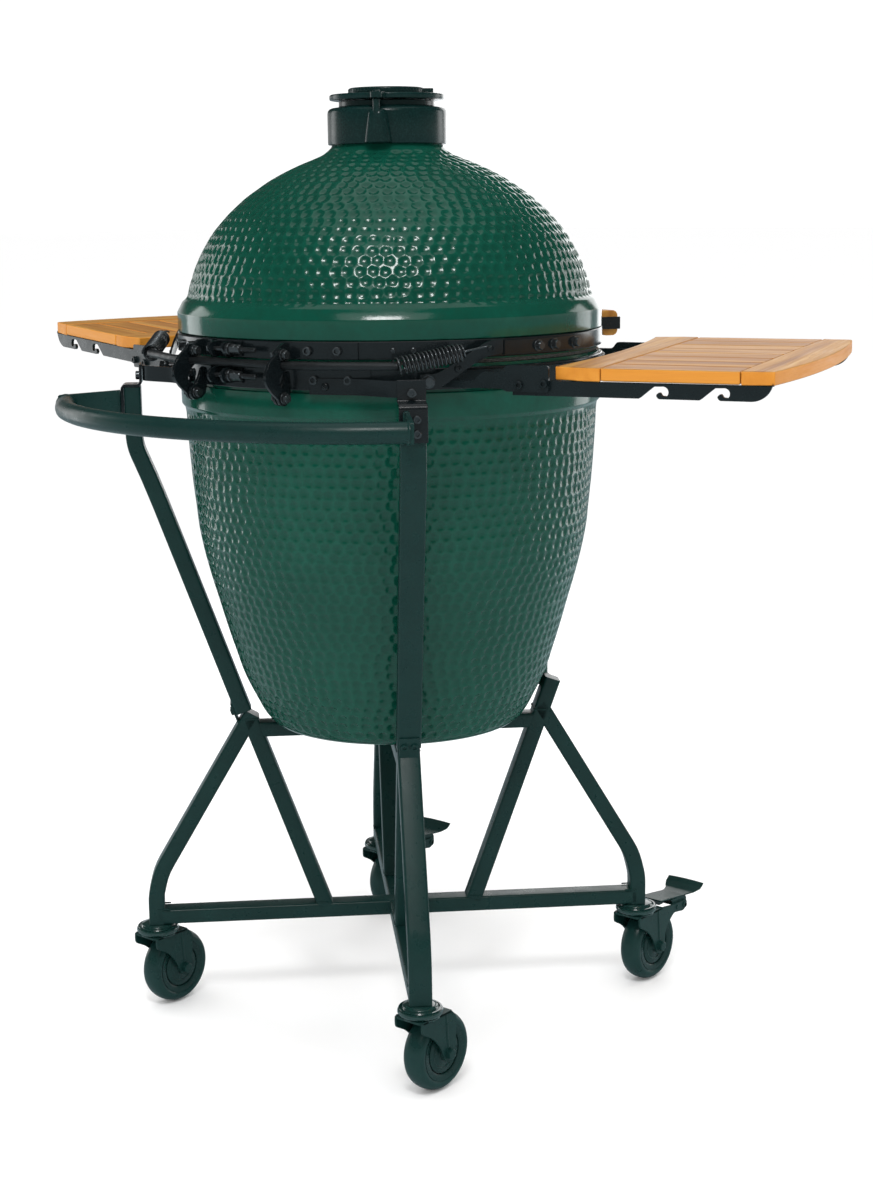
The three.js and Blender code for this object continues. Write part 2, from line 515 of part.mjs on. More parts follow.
// --------------------------------------------------------------- side tables
for (const side of ['right', 'left']) {
  const tab = new THREE.Group();                 // x is a, y is b, z up from FOLD_Z
  const build = (geo) => {                       // from (a, b, z) to the row
    const g = geo.clone();
    const tilt = TABLE_TILT[side], roll = TABLE_ROLL[side];
    g.applyMatrix4(new THREE.Matrix4().makeTranslation(-FOLD_A, 0, -FOLD_Z));
    g.applyMatrix4(new THREE.Matrix4().makeRotationX(-roll));
    g.applyMatrix4(new THREE.Matrix4().makeRotationY(-tilt));
    g.applyMatrix4(new THREE.Matrix4().makeTranslation(FOLD_A, 0, FOLD_Z));
    return place(g);
  };
  const place = (geo) => {
    let g = geo.index ? geo.clone() : clean(geo);
    g = clean(g);
    if (side === 'left') g = mirrorX(g);
    g.applyMatrix4(new THREE.Matrix4().makeRotationZ(THREE.MathUtils.degToRad(side === 'right' ? -TABLE_AZ : TABLE_AZ)));
    return g;
  };
  const zt = TABLE_ZTOP[side] - 4, zb = zt - WOOD_T;
  const b0 = TABLE_B0 - TABLE_HALF, b1 = TABLE_B0 + TABLE_HALF;
  const arc = (a, sag, y0, y1, n) => {
    const pts = [];
    for (let i = 0; i <= n; i++) { const t = i / n, y = y0 + (y1 - y0) * t; pts.push([a + sag * (1 - (2 * t - 1) ** 2), y]); }
    return pts;
  };
  const wood = (outline) => { const g = slab(outline, WOOD_T); g.translate(0, 0, zb); return g; };
  add(`table_${side}_inner_board`, build(wood([[A_SEAM1 - GAP, b0], [A_SEAM1 - GAP, b1], ...arc(A_INNER, 15, b1 - 8, b0 + 8, 10)])), 'wood');
  add(`table_${side}_outer_board`, build(wood([...arc(A_OUTER, 17, b0 + 3, b1 - 3, 10), [A_SEAM2 + GAP, b1], [A_SEAM2 + GAP, b0]])), 'wood');
  // eight slats with shallow grooves between them, one glued panel
  let panel = wood([[A_SEAM1, b0], [A_SEAM2, b0], [A_SEAM2, b1], [A_SEAM1, b1]]);
  const grooves = [];
  for (let k = 1; k < 8; k++) { const y = b0 + (b1 - b0) * k / 8; grooves.push(box(A_SEAM1 - 5, A_SEAM2 + 5, y - 1, y + 1, zt - 3, zt + 5)); }
  add(`table_${side}_slats`, build(cut(panel, ...grooves)), 'wood');
  // the two hooked bars under the boards
  const top = zb - GAP, bot = zb - 17.5;
  const hook = (a) => [[a, bot], [a + 16, zb - 3.5], [a + 25, zb - 3.5], [a + 31, zb - 5], [a + 34.5, zb - 9.5], [a + 32, zb - 13], [a + 26, zb - 13], [a + 22, zb - 10.5],
    [a + 18.5, zb - 13.5], [a + 20.5, bot]];
  const bar = [[252, bot], ...hook(404), ...hook(474), [530, bot], [541, bot + 2], [550, bot + 7], [556, top], [252, top]];
  for (const [which, b] of [['rear', b1 - 6.5], ['front', b0 + 2.5]]) {
    // standing in the a-z plane
    const g = slab(bar, 4);
    g.applyMatrix4(new THREE.Matrix4().set(1, 0, 0, 0, 0, 0, -1, b + 4, 0, 1, 0, 0, 0, 0, 0, 1));
    add(`table_${side}_bar_${which}`, build(g), 'bar');
  }
  // fixed bracket: curved plate on the lower band with two cheeks
  const cheeks = [];
  for (const [b, e] of [[b1 - 1.2, 4], [b0 - 3, 4]]) {
    const aIn = Math.sqrt((RB + 0.8) ** 2 - b * b);
    const yy = b > 0 ? [b - 0.3, b + 3.7] : [b - 0.3, b + 3.7];
    cheeks.push((() => {
      const o = [[aIn - 14, 849], [240, 849], [246, 846], [297.5, 846], [297.5, 876.5], [246, 876.5], [240, 868], [216, 868], [206, 857.5], [aIn - 14, 857.5]];
      const g = slab(o, 4);
      g.applyMatrix4(new THREE.Matrix4().set(1, 0, 0, 0, 0, 0, -1, yy[1], 0, 1, 0, 0, 0, 0, 0, 1));
      return g;
    })());
  }
  const plate = sector(RB + 0.6, RB + 3.6, -40, 52, 849, 868, 7.6667);
  let br = join(plate, ...cheeks);
  br = cut(br, rod([0, 0, 800], [0, 0, 900], RB + 0.6, SEG * 2));
  add(`table_${side}_bracket`, place(br), 'bar');
}

// ------------------------------------------------------------------- casters
for (const [name, sx, sy] of [['rear_right', 1, 1], ['rear_left', -1, 1], ['front_right', 1, -1], ['front_left', -1, -1]]) {
  const c = new THREE.Group();
  c.position.set(sx * CASTER_XY, sy * CASTER_XY, 0);
  egg.add(c);
  const front = sy < 0;
  const y = -WHEEL_TRAIL, z = WHEEL_R;
  // race and crown, two swept cheeks and the axle
  const race = lathe([[0, 100.5], [22, 100.5], [22, 104], [27, 105], [28, 108], [27, 111.5], [21, 113], [19, 116.6], [0, 116.6]], 24);
  const cheek = [[24, 104], [-26, 104], [-38, 92], ...(front ? [[-60, 98], [-94, 98], [-94, 87], [-84, 84], [-62, 88], [-46, 76]] : []),
    ...circlePts(y, z, 10, 5, 170, 330).map((p) => p), [2, 74], [20, 92]];
  const cheekOutline = cheek.slice().reverse();
  const parts = [race, box(-22, 22, -27, 22, 100.5, 104), slabYZ(cheekOutline, 19, 22), slabYZ(cheekOutline, -22, -19),
    rod([-27, y, z], [27, y, z], 4.2, 12), rod([22, y, z], [27, y, z], 8, 6), rod([-27, y, z], [-22, y, z], 8, 6)];
  if (front) parts.push(rod([-22, -88, 92], [22, -88, 92], 2.8, 10));
  add(`caster_fork_${name}`, join(...parts), 'powder', c);
  const w = lathe([[5, -17.5], [10, -17.5], [10, -14], [33, -14], [35, -WHEEL_W / 2], [44, -WHEEL_W / 2], [47.5, -9], [WHEEL_R, 0],
    [47.5, 9], [44, WHEEL_W / 2], [35, WHEEL_W / 2], [33, 14], [10, 14], [10, 17.5], [5, 17.5], [5, -17.5]], 24);
  w.rotateY(Math.PI / 2);
  w.translate(0, y, z);
  add(`caster_wheel_${name}`, w, 'wheel', c);
  if (front) {
    // plate from the collar out to a flared tip, with two ears on the pivot pin
    const plate = [[-35, 108.5], [-36, 111], [-64, 108], [-92, 104.5], [-108, 105.5], [-118, 110], [-125, 115], [-127, 113], [-119, 107], [-108, 102.5], [-92, 101.5], [-64, 105.3]];
    const flare = [[-108, 102.5], [-108, 105.5], [-118, 110], [-125, 115], [-127, 113], [-119, 107]];
    const ear = [[-62, 106], [-98, 103], [-99, 92], [-90, 84], [-80, 84], [-66, 96]];
    let g = join(slabYZ(plate.slice().reverse(), -18, 18), slabYZ(flare.slice().reverse(), -29, 29),
      slabYZ(ear.slice().reverse(), -18, -15.5), slabYZ(ear.slice().reverse(), 15.5, 18));
    g = cut(g, rod([-40, -88, 92], [40, -88, 92], 3.1, 10));
    add(`brake_pedal_${name}`, g, 'powder', c);
  }
}

export default part;
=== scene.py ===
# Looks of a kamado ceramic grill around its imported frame.  Lengths in the
# helpers are millimetres from the egg's axis; emit() turns them into metres.
import bpy
import bmesh
import math
import numpy as np
from mathutils import Matrix, Vector


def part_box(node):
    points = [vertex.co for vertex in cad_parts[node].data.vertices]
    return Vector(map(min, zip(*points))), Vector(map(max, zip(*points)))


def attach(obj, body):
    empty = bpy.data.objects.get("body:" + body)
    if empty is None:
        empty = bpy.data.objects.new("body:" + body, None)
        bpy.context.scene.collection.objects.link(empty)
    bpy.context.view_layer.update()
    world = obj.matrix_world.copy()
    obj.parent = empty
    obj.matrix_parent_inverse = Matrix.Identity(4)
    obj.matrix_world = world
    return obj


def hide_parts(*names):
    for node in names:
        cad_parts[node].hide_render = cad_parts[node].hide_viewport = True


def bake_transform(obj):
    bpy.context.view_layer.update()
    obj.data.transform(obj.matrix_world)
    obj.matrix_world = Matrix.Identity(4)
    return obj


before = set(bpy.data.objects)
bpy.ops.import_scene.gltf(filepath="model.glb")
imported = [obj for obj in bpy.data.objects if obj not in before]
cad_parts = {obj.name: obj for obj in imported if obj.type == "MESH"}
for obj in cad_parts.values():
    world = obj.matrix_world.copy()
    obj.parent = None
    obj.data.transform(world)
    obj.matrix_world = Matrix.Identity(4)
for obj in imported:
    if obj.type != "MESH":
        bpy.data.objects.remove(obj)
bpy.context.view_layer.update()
_lo, _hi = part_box("upper_band")
AX, AY = (_lo.x + _hi.x) / 2, (_lo.y + _hi.y) / 2      # the egg's axis
rng = np.random.RandomState(7)


def rad(a):
    return math.radians(a)


def pol(r, az, z=0.0):
    return np.array([r * math.cos(rad(az)), r * math.sin(rad(az)), z])


def A(*v):
    return np.array(v, float)


# ------------------------------------------------------------------ materials
def new_mat(name, base, rough, metal=0.0, spec=0.5, coat=0.0, coat_rough=0.05):
    m = bpy.data.materials.new(name)
    m.use_nodes = True
    nt = m.node_tree
    b = nt.nodes["Principled BSDF"]
    b.inputs["Base Color"].default_value = (*base, 1)
    b.inputs["Roughness"].default_value = rough
    b.inputs["Metallic"].default_value = metal
    b.inputs["Specular IOR Level"].default_value = spec
    b.inputs["Coat Weight"].default_value = coat
    b.inputs["Coat Roughness"].default_value = coat_rough
    tc = nt.nodes.new("ShaderNodeTexCoord")
    return m, nt, b, tc


def noise(nt, vec, scale, detail=3.0, rough=0.5, dist=0.0):
    n = nt.nodes.new("ShaderNodeTexNoise")
    n.inputs["Scale"].default_value = scale
    n.inputs["Detail"].default_value = detail
    n.inputs["Roughness"].default_value = rough
    n.inputs["Distortion"].default_value = dist
    nt.links.new(vec, n.inputs["Vector"])
    return n


def mapping(nt, vec, scale):
    n = nt.nodes.new("ShaderNodeMapping")
    n.inputs["Scale"].default_value = scale
    nt.links.new(vec, n.inputs["Vector"])
    return n.outputs["Vector"]


def ramp(nt, fac, stops):
    n = nt.nodes.new("ShaderNodeValToRGB")
    cr = n.color_ramp
    while len(cr.elements) < len(stops):
        cr.elements.new(0.5)
    for e, (p, c) in zip(cr.elements, stops):
        e.position = p
        e.color = (*c, 1) if len(c) == 3 else c
    nt.links.new(fac, n.inputs["Fac"])
    return n.outputs["Color"]


def mrange(nt, val, a, b, c, d):
    n = nt.nodes.new("ShaderNodeMapRange")
    for k, v in zip(("From Min", "From Max", "To Min", "To Max"), (a, b, c, d)):
        n.inputs[k].default_value = v
    nt.links.new(val, n.inputs["Value"])
    return n.outputs["Result"]


def mixc(nt, fac, a, b, mode="MIX"):
    n = nt.nodes.new("ShaderNodeMix")
    n.data_type = "RGBA"
    n.blend_type = mode
    if isinstance(fac, float):
        n.inputs[0].default_value = fac
    else:
        nt.links.new(fac, n.inputs[0])
    for s, v in ((6, a), (7, b)):
        if isinstance(v, tuple):
            n.inputs[s].default_value = (*v, 1)
        else:
            nt.links.new(v, n.inputs[s])
    return n.outputs[2]


def bump(nt, b, height, strength, dist=0.001, chain=None):
    n = nt.nodes.new("ShaderNodeBump")
    n.inputs["Strength"].default_value = strength
    n.inputs["Distance"].default_value = dist
    nt.links.new(height, n.inputs["Height"])
    if chain is not None:
        nt.links.new(chain, n.inputs["Normal"])
    nt.links.new(n.outputs["Normal"], b.inputs["Normal"])
    return n.outputs["Normal"]


def attr(nt, name, out="Fac"):
    n = nt.nodes.new("ShaderNodeAttribute")
    n.attribute_type = "GEOMETRY"
    n.attribute_name = name
    return n.outputs[out]


def make_glaze():
    m, nt, b, tc = new_mat("glaze_green", (0.003, 0.055, 0.034), 0.11, spec=0.45)
    o = tc.outputs["Object"]
    big = noise(nt, o, 5.0, 4.0, 0.55)
    col = ramp(nt, big.outputs["Fac"], [(0.3, (0.0022, 0.041, 0.0265)), (0.55, (0.003, 0.051, 0.033)), (0.75, (0.0045, 0.063, 0.041))])
    fine = noise(nt, o, 90.0, 4.0, 0.6)
    fcol = mrange(nt, fine.outputs["Fac"], 0.35, 0.7, 0.0, 0.45)
    col = mixc(nt, fcol, col, (0.002, 0.036, 0.022))
    # painted shade darkens the glaze in the dent hollows and a painted highlight lightens the flat ridges between them
    dent_depth = attr(nt, "dent_depth")
    col = mixc(nt, mrange(nt, dent_depth, 0.0, 1.0, 0.0, 0.32), col, (0.0016, 0.034, 0.021))
    # painted highlight on the ridges, where the dent depth is near zero
    ridge_highlight = mrange(nt, dent_depth, 0.0, 0.12, 0.07, 0.0)
    col = mixc(nt, ridge_highlight, col, (0.010, 0.105, 0.066))
    nt.links.new(col, b.inputs["Base Color"])
    nt.links.new(mrange(nt, fine.outputs["Fac"], 0.3, 0.7, 0.09, 0.17), b.inputs["Roughness"])
    peel = noise(nt, o, 260.0, 2.0, 0.5)
    bump(nt, b, peel.outputs["Fac"], 0.10, 0.0006)
    return m


def make_paint(name, base, dark, rough, grain=1500.0, strength=0.14, metal=0.0, coat=0.0, worn=None, spec=0.5):
    m, nt, b, tc = new_mat(name, base, rough, metal, spec=spec, coat=coat)
    o = tc.outputs["Object"]
    n1 = noise(nt, o, 14.0, 5.0, 0.6)
    col = ramp(nt, n1.outputs["Fac"], [(0.3, dark), (0.7, base)])
    n2 = noise(nt, o, grain, 2.0, 0.6)
    col = mixc(nt, mrange(nt, n2.outputs["Fac"], 0.45, 0.75, 0.0, 0.35), col, tuple(min(1, c * 2.1 + 0.006) for c in base))
    if worn is not None:
        # thin rub marks and dust where the finish has been touched
        n3 = noise(nt, mapping(nt, o, (1, 1, 3.5)), 42.0, 8.0, 0.72, 0.4)
        col = mixc(nt, mrange(nt, n3.outputs["Fac"], 0.66, 0.78, 0.0, 0.5), col, worn)
    nt.links.new(col, b.inputs["Base Color"])
    n4 = noise(nt, o, 60.0, 4.0, 0.6)
    nt.links.new(mrange(nt, n4.outputs["Fac"], 0.3, 0.7, rough * 0.82, rough * 1.22), b.inputs["Roughness"])
    bump(nt, b, n2.outputs["Fac"], strength, 0.0004)
    return m


def make_wood():
    m, nt, b, tc = new_mat("acacia_oiled", (0.55, 0.3, 0.1), 0.5, spec=0.25)
    g = attr(nt, "gc", "Vector")
    tone = attr(nt, "tone")
    side = attr(nt, "side")
    warp = noise(nt, mapping(nt, g, (2.2, 7.0, 7.0)), 1.0, 3.0, 0.5)
    add = nt.nodes.new("ShaderNodeVectorMath")
    add.operation = "MULTIPLY_ADD"
    nt.links.new(warp.outputs["Color"], add.inputs[0])
    add.inputs[1].default_value = (0.0, 0.030, 0.030)
    nt.links.new(g, add.inputs[2])
    gv = add.outputs["Vector"]
    rings = noise(nt, mapping(nt, gv, (1.6, 46.0, 46.0)), 1.0, 5.0, 0.55, 0.3)
    col = ramp(nt, rings.outputs["Fac"], [(0.28, (0.17, 0.058, 0.006)), (0.43, (0.30, 0.122, 0.014)), (0.56, (0.40, 0.190, 0.029)), (0.74, (0.49, 0.262, 0.052))])
    streak = noise(nt, mapping(nt, gv, (5.0, 260.0, 260.0)), 1.0, 3.0, 0.6)
    col = mixc(nt, mrange(nt, streak.outputs["Fac"], 0.52, 0.72, 0.0, 0.5), col, (0.34, 0.15, 0.045))
    pores = noise(nt, mapping(nt, gv, (26.0, 900.0, 900.0)), 1.0, 1.0, 0.5)
    pf = mrange(nt, pores.outputs["Fac"], 0.63, 0.72, 0.0, 0.65)
    col = mixc(nt, pf, col, (0.16, 0.06, 0.018))
    col = mixc(nt, mrange(nt, tone, 0.0, 1.0, 0.0, 0.42), col, (0.38, 0.17, 0.05))
    col = mixc(nt, mrange(nt, side, 0.0, 1.0, 0.0, 0.66), col, (0.64, 0.235, 0.020))
    nt.links.new(col, b.inputs["Base Color"])
    nt.links.new(mrange(nt, streak.outputs["Fac"], 0.3, 0.7, 0.40, 0.58), b.inputs["Roughness"])
    n1 = bump(nt, b, streak.outputs["Fac"], 0.25, 0.0008)
    bump(nt, b, pores.outputs["Fac"], -0.2 if False else 0.2, 0.0004, n1)
    return m


def make_steel(name="stainless", rough=0.3):
    m, nt, b, tc = new_mat(name, (0.56, 0.56, 0.55), rough, 1.0)
    o = tc.outputs["Object"]
    n = noise(nt, mapping(nt, o, (20, 20, 900)), 1.0, 4.0, 0.6)
    nt.links.new(ramp(nt, n.outputs["Fac"], [(0.3, (0.42, 0.42, 0.41)), (0.7, (0.66, 0.66, 0.65))]), b.inputs["Base Color"])
    nt.links.new(mrange(nt, n.outputs["Fac"], 0.3, 0.7, rough * 0.75, rough * 1.4), b.inputs["Roughness"])
    bump(nt, b, n.outputs["Fac"], 0.12, 0.0003)
    return m


def make_clay():
    m, nt, b, tc = new_mat("fireclay", (0.46, 0.38, 0.28), 0.88)
    o = tc.outputs["Object"]
    n = noise(nt, o, 30.0, 8.0, 0.65)
    soot = noise(nt, mapping(nt, o, (1, 1, 0.6)), 7.0, 5.0, 0.6)
    col = ramp(nt, n.outputs["Fac"], [(0.3, (0.34, 0.27, 0.19)), (0.7, (0.55, 0.46, 0.35))])
    col = mixc(nt, mrange(nt, soot.outputs["Fac"], 0.42, 0.68, 0.0, 0.75), col, (0.07, 0.06, 0.05))
    nt.links.new(col, b.inputs["Base Color"])
    g = noise(nt, o, 420.0, 3.0, 0.6)
    bump(nt, b, g.outputs["Fac"], 0.5, 0.0008)
    return m


def make_felt():
    m, nt, b, tc = new_mat("gasket_felt", (0.10, 0.10, 0.095), 0.95)
    o = tc.outputs["Object"]
    w = nt.nodes.new("ShaderNodeTexVoronoi")
    w.inputs["Scale"].default_value = 700.0
    nt.links.new(o, w.inputs["Vector"])
    nt.links.new(ramp(nt, w.outputs["Distance"], [(0.1, (0.15, 0.15, 0.14)), (0.6, (0.045, 0.045, 0.04))]), b.inputs["Base Color"])
    bump(nt, b, w.outputs["Distance"], 0.6, 0.0006)
    return m


def make_rubber(name, base, dark, rough):
    m, nt, b, tc = new_mat(name, base, rough, spec=0.28)
    o = tc.outputs["Object"]
    n = noise(nt, o, 35.0, 6.0, 0.65)
    nt.links.new(ramp(nt, n.outputs["Fac"], [(0.35, dark), (0.7, base)]), b.inputs["Base Color"])
    nt.links.new(mrange(nt, n.outputs["Fac"], 0.3, 0.75, rough * 0.8, rough * 1.25), b.inputs["Roughness"])
    f = noise(nt, o, 600.0, 3.0, 0.6)
    bump(nt, b, f.outputs["Fac"], 0.16, 0.0004)
    return m


M = {
    "glaze": make_glaze(),
    "powder": make_paint("powder_green", (0.0048, 0.0250, 0.0225), (0.0032, 0.0185, 0.0168), 0.30, 1400.0, 0.16, coat=0.0, worn=(0.03, 0.06, 0.058), spec=0.24),
    "black": make_paint("paint_black", (0.0040, 0.0066, 0.0076), (0.0024, 0.0042, 0.0050), 0.17, 1100.0, 0.08, coat=0.0, worn=(0.03, 0.04, 0.042), spec=0.42),
    "bolt": make_paint("bolt_blackened", (0.085, 0.095, 0.100), (0.050, 0.057, 0.060), 0.22, 900.0, 0.06, metal=0.85),
    "rod": make_paint("rod_blackened", (0.020, 0.024, 0.026), (0.011, 0.013, 0.014), 0.42, 900.0, 0.5, metal=0.6, worn=(0.10, 0.11, 0.11)),
    "bar": make_paint("powder_dark", (0.0050, 0.0095, 0.0108), (0.0032, 0.0066, 0.0075), 0.28, 1500.0, 0.16, worn=(0.03, 0.04, 0.042), spec=0.30),
    "gloss": make_paint("swivel_gloss", (0.0065, 0.028, 0.025), (0.0045, 0.020, 0.018), 0.13, 1200.0, 0.05, coat=0.5),
    "iron": make_paint("cast_green_black", (0.0030, 0.0170, 0.0160), (0.0020, 0.0120, 0.0112), 0.22, 520.0, 0.14, coat=0.0, spec=0.24),
    "wood": make_wood(),
    "steel": make_steel(),
    "zinc": make_steel("bolt_steel_dark", 0.36),
    "clay": make_clay(),
    "felt": make_felt(),
    "tyre": make_rubber("wheel_rubber", (0.0070, 0.0330, 0.0300), (0.0045, 0.0240, 0.0220), 0.30),
    "hub": make_rubber("wheel_hub", (0.0062, 0.0270, 0.0245), (0.0040, 0.0190, 0.0175), 0.26),
    "soot": make_paint("black_shadow", (0.004, 0.005, 0.005), (0.002, 0.003, 0.003), 0.6),
}


# ------------------------------------------------------------------- geometry
def lathe(prof, n=128, a0=0.0, a1=360.0):
    """rings of revolution; a closed profile repeats its first point; radius 0 makes a pole"""
    closed = len(prof) > 2 and np.allclose(prof[0], prof[-1])
    p = prof[:-1] if closed else prof
    V, F, ids = [], [], []
    for r, z in p:
        if r < 1e-6:
            ids.append([len(V)] * n)
            V.append((0, 0, z))
        else:
            ids.append(list(range(len(V), len(V) + n)))
            for i in range(n):
                t = 2 * math.pi * i / n
                V.append((r * math.cos(t), r * math.sin(t), z))
    m = len(p)
    for k in range(m if closed else m - 1):
        a, b = ids[k], ids[(k + 1) % m]
        for i in range(n):
            q = [a[i], a[(i + 1) % n], b[(i + 1) % n], b[i]]
            q = [v for j, v in enumerate(q) if v != q[j - 1]]
            if len(q) >= 3:
                F.append(q)
    return np.array(V, float), F


def rings(rs, n=24):
    """like lathe, but a ring may be a hexagon: (r, z) or (r across flats / 2, z, 'h')"""
    V, F, ids = [], [], []
    for e in rs:
        r, z = e[0], e[1]
        if r < 1e-6:
            ids.append([len(V)] * n)
            V.append((0, 0, z))
            continue
        ids.append(list(range(len(V), len(V) + n)))
        for i in range(n):
            t = 360.0 * i / n
            rr = r / math.cos(rad((t + 30) % 60 - 30)) if len(e) > 2 else r
            V.append((rr * math.cos(rad(t)), rr * math.sin(rad(t)), z))
    for k in range(len(rs) - 1):
        a, b = ids[k], ids[k + 1]
        for i in range(n):
            q = [a[i], a[(i + 1) % n], b[(i + 1) % n], b[i]]
            q = [v for j, v in enumerate(q) if v != q[j - 1]]
            if len(q) >= 3:
                F.append(q)
    return np.array(V, float), F


def basis(d, up=None):
    d = np.array(d, float) / np.linalg.norm(d)
    u = np.array(up if up is not None else (0, 0, 1), float)
    if abs(u @ d) > 0.98:
        u = np.array((1.0, 0, 0))
    x = np.cross(u, d)
    x /= np.linalg.norm(x)
    return np.column_stack([x, np.cross(d, x), d])


def at(vf, p, d, up=None):
    """turn +Z of a shape to d and put its origin at p"""
    return vf[0] @ basis(d, up).T + np.array(p, float), vf[1]


def move(vf, R=None, t=(0, 0, 0)):
    v = vf[0]
    if R is not None:
        v = v @ np.array(R, float).T
    return v + np.array(t, float), vf[1]


def rotz(a):
    c, s = math.cos(rad(a)), math.sin(rad(a))
    return np.array([[c, -s, 0], [s, c, 0], [0, 0, 1.0]])


def mirx(vf):
    v = vf[0].copy()
    v[:, 0] *= -1
    return v, [f[::-1] for f in vf[1]]


def sweep(path, sec, up=None, caps=True, closed=False, scale=None):
    P = np.array(path, float)
    n = len(P)
    T = np.zeros_like(P)
    for i in range(n):
        a, b = (P[i - 1], P[(i + 1) % n]) if closed else (P[max(0, i - 1)], P[min(n - 1, i + 1)])
        T[i] = (b - a) / (np.linalg.norm(b - a) + 1e-12)
    u = np.array(up if up is not None else (0, 0, 1), float)
    if up is None and abs(u @ T[0]) > 0.9:
        u = np.array((1.0, 0, 0))
    V, F = [], []
    N = u - (u @ T[0]) * T[0]
    N /= np.linalg.norm(N)
    for i in range(n):
        if up is not None:
            N2 = u - (u @ T[i]) * T[i]
        else:
            N2 = N - (N @ T[i]) * T[i]
        N = N2 / np.linalg.norm(N2)
        B = np.cross(T[i], N)
        k = 1.0 if scale is None else scale[i]
        for s in sec:
            V.append(P[i] + (N * s[0] + B * s[1]) * k)
    m = len(sec)
    for i in range(n if closed else n - 1):
        for j in range(m):
            a, b = i * m + j, i * m + (j + 1) % m
            c, d = ((i + 1) % n) * m + (j + 1) % m, ((i + 1) % n) * m + j
            F.append([a, b, c, d])
    if caps and not closed:
        F.append(list(range(m))[::-1])
        F.append([(n - 1) * m + j for j in range(m)])
    return np.array(V), F


def circ(r, n=12):
    return [(r * math.cos(2 * math.pi * i / n), r * math.sin(2 * math.pi * i / n)) for i in range(n)]


def tube(path, r, n=12, up=None):
    """a round bar with small rounded ends"""
    P = [np.array(p, float) for p in path]
    e = min(r * 0.25, 0.8)
    d0 = (P[1] - P[0]) / np.linalg.norm(P[1] - P[0])
    d1 = (P[-1] - P[-2]) / np.linalg.norm(P[-1] - P[-2])
    Q = [P[0], P[0] + d0 * e] + P[1:-1] + [P[-1] - d1 * e, P[-1]]
    sc = [1 - e / r] + [1.0] * (len(Q) - 2) + [1 - e / r]
    return sweep(Q, circ(r, n), up, scale=sc)


def rrect(w, h, r, n=4):
    """rounded rectangle, w along the first axis"""
    out = []
    for cx, cy, a in ((w / 2 - r, h / 2 - r, 0), (-w / 2 + r, h / 2 - r, 90), (-w / 2 + r, -h / 2 + r, 180), (w / 2 - r, -h / 2 + r, 270)):
        for i in range(n + 1):
            t = rad(a + 90 * i / n)
            out.append((cx + r * math.cos(t), cy + r * math.sin(t)))
    return out


def fillet(path, rads, step=6.0):
    """polyline with its inner corners turned into arcs of the given radii"""
    P = [np.array(p, float) for p in path]
    out = [P[0]]
    for i in range(1, len(P) - 1):
        r = rads[i - 1] if isinstance(rads, (list, tuple)) else rads
        a, b = P[i - 1] - P[i], P[i + 1] - P[i]
        la, lb = np.linalg.norm(a), np.linalg.norm(b)
        a, b = a / la, b / lb
        ang = math.acos(max(-1, min(1, a @ b)))
        turn = math.pi - ang
        if turn < 1e-3 or r <= 0:
            out.append(P[i])
            continue
        d = min(r * math.tan(turn / 2), la * 0.48, lb * 0.48)
        rr = d / math.tan(turn / 2)
        c = P[i] + (a + b) / np.linalg.norm(a + b) * (rr / math.sin(ang / 2))
        p0, p1 = P[i] + a * d, P[i] + b * d
        k = max(3, int(turn / rad(step)))
        u, w = p0 - c, p1 - c
        for j in range(k + 1):
            t = j / k
            s0, s1 = math.sin((1 - t) * turn) / math.sin(turn), math.sin(t * turn) / math.sin(turn)
            out.append(c + u * s0 + w * s1)
    out.append(P[-1])
    return out


def prism(outline, t0, t1, o=(0, 0, 0), ex=(1, 0, 0), ey=(0, 1, 0), ez=(0, 0, 1), mids=0):
    """an outline (u, v) pushed from t0 to t1"""
    o, ex, ey, ez = (np.array(q, float) for q in (o, ex, ey, ez))
    m = len(outline)
    V = [o + ex * u + ey * v + ez * t for t in (t0, t1) for u, v in outline]
    F = [list(range(m))[::-1], list(range(m, 2 * m))] + [[j, (j + 1) % m, m + (j + 1) % m, m + j] for j in range(m)]
    return np.array(V), F


def offset2(path, w):
    """outline of a strip of width w round a 2-D polyline"""
    P = [np.array(p, float) for p in path]
    L, R = [], []
    for i, p in enumerate(P):
        a, b = P[max(0, i - 1)], P[min(len(P) - 1, i + 1)]
        d = b - a
        d /= np.linalg.norm(d)
        n = np.array([-d[1], d[0]])
        if 0 < i < len(P) - 1:
            d1 = (p - P[i - 1]) / np.linalg.norm(p - P[i - 1])
            n1 = np.array([-d1[1], d1[0]])
            n = n / max(0.5, n @ n1)
        L.append(p + n * w / 2)
        R.append(p - n * w / 2)
    return [tuple(q) for q in L + R[::-1]]


def sector(r0, r1, a0, a1, z0, z1, step=1.5):
    n = max(2, int(abs(a1 - a0) / step))
    A1 = [pol(r1, a0 + (a1 - a0) * i / n)[:2] for i in range(n + 1)]
    A0 = [pol(r0, a1 - (a1 - a0) * i / n)[:2] for i in range(n + 1)]
    V = [(*p, z) for z in (z0, z1) for p in A1 + A0]
    m = 2 * (n + 1)
    F = []
    for i in range(n):
        q = [i, i + 1, m - 2 - i, m - 1 - i]
        F.append(q[::-1])
        F.append([m + j for j in q])
    for j in range(m):
        F.append([j, (j + 1) % m, m + (j + 1) % m, m + j])
    return np.array(V, float), F


def boxm(x0, x1, y0, y1, z0, z1):
    return prism([(x0, y0), (x1, y0), (x1, y1), (x0, y1)], z0, z1)


def hexhead(p, d, af=10.0, h=6.0, washer=7.5, stud=0.0):
    rs = [(0, 0)]
    z = 0.0
    if washer:
        rs += [(washer, 0), (washer, 1.1), (washer - 0.4, 1.5)]
        z = 1.5
    rs += [(af / 2, z, "h"), (af / 2, z + h - 0.8, "h"), (af / 2 - 0.35, z + h)]
    if stud:
        rs += [(af * 0.29, z + h), (af * 0.29, z + h + stud - 0.6), (af * 0.29 - 0.6, z + h + stud), (0, z + h + stud)]
    else:
        rs += [(0, z + h)]
    return at(rings(rs), p, d)


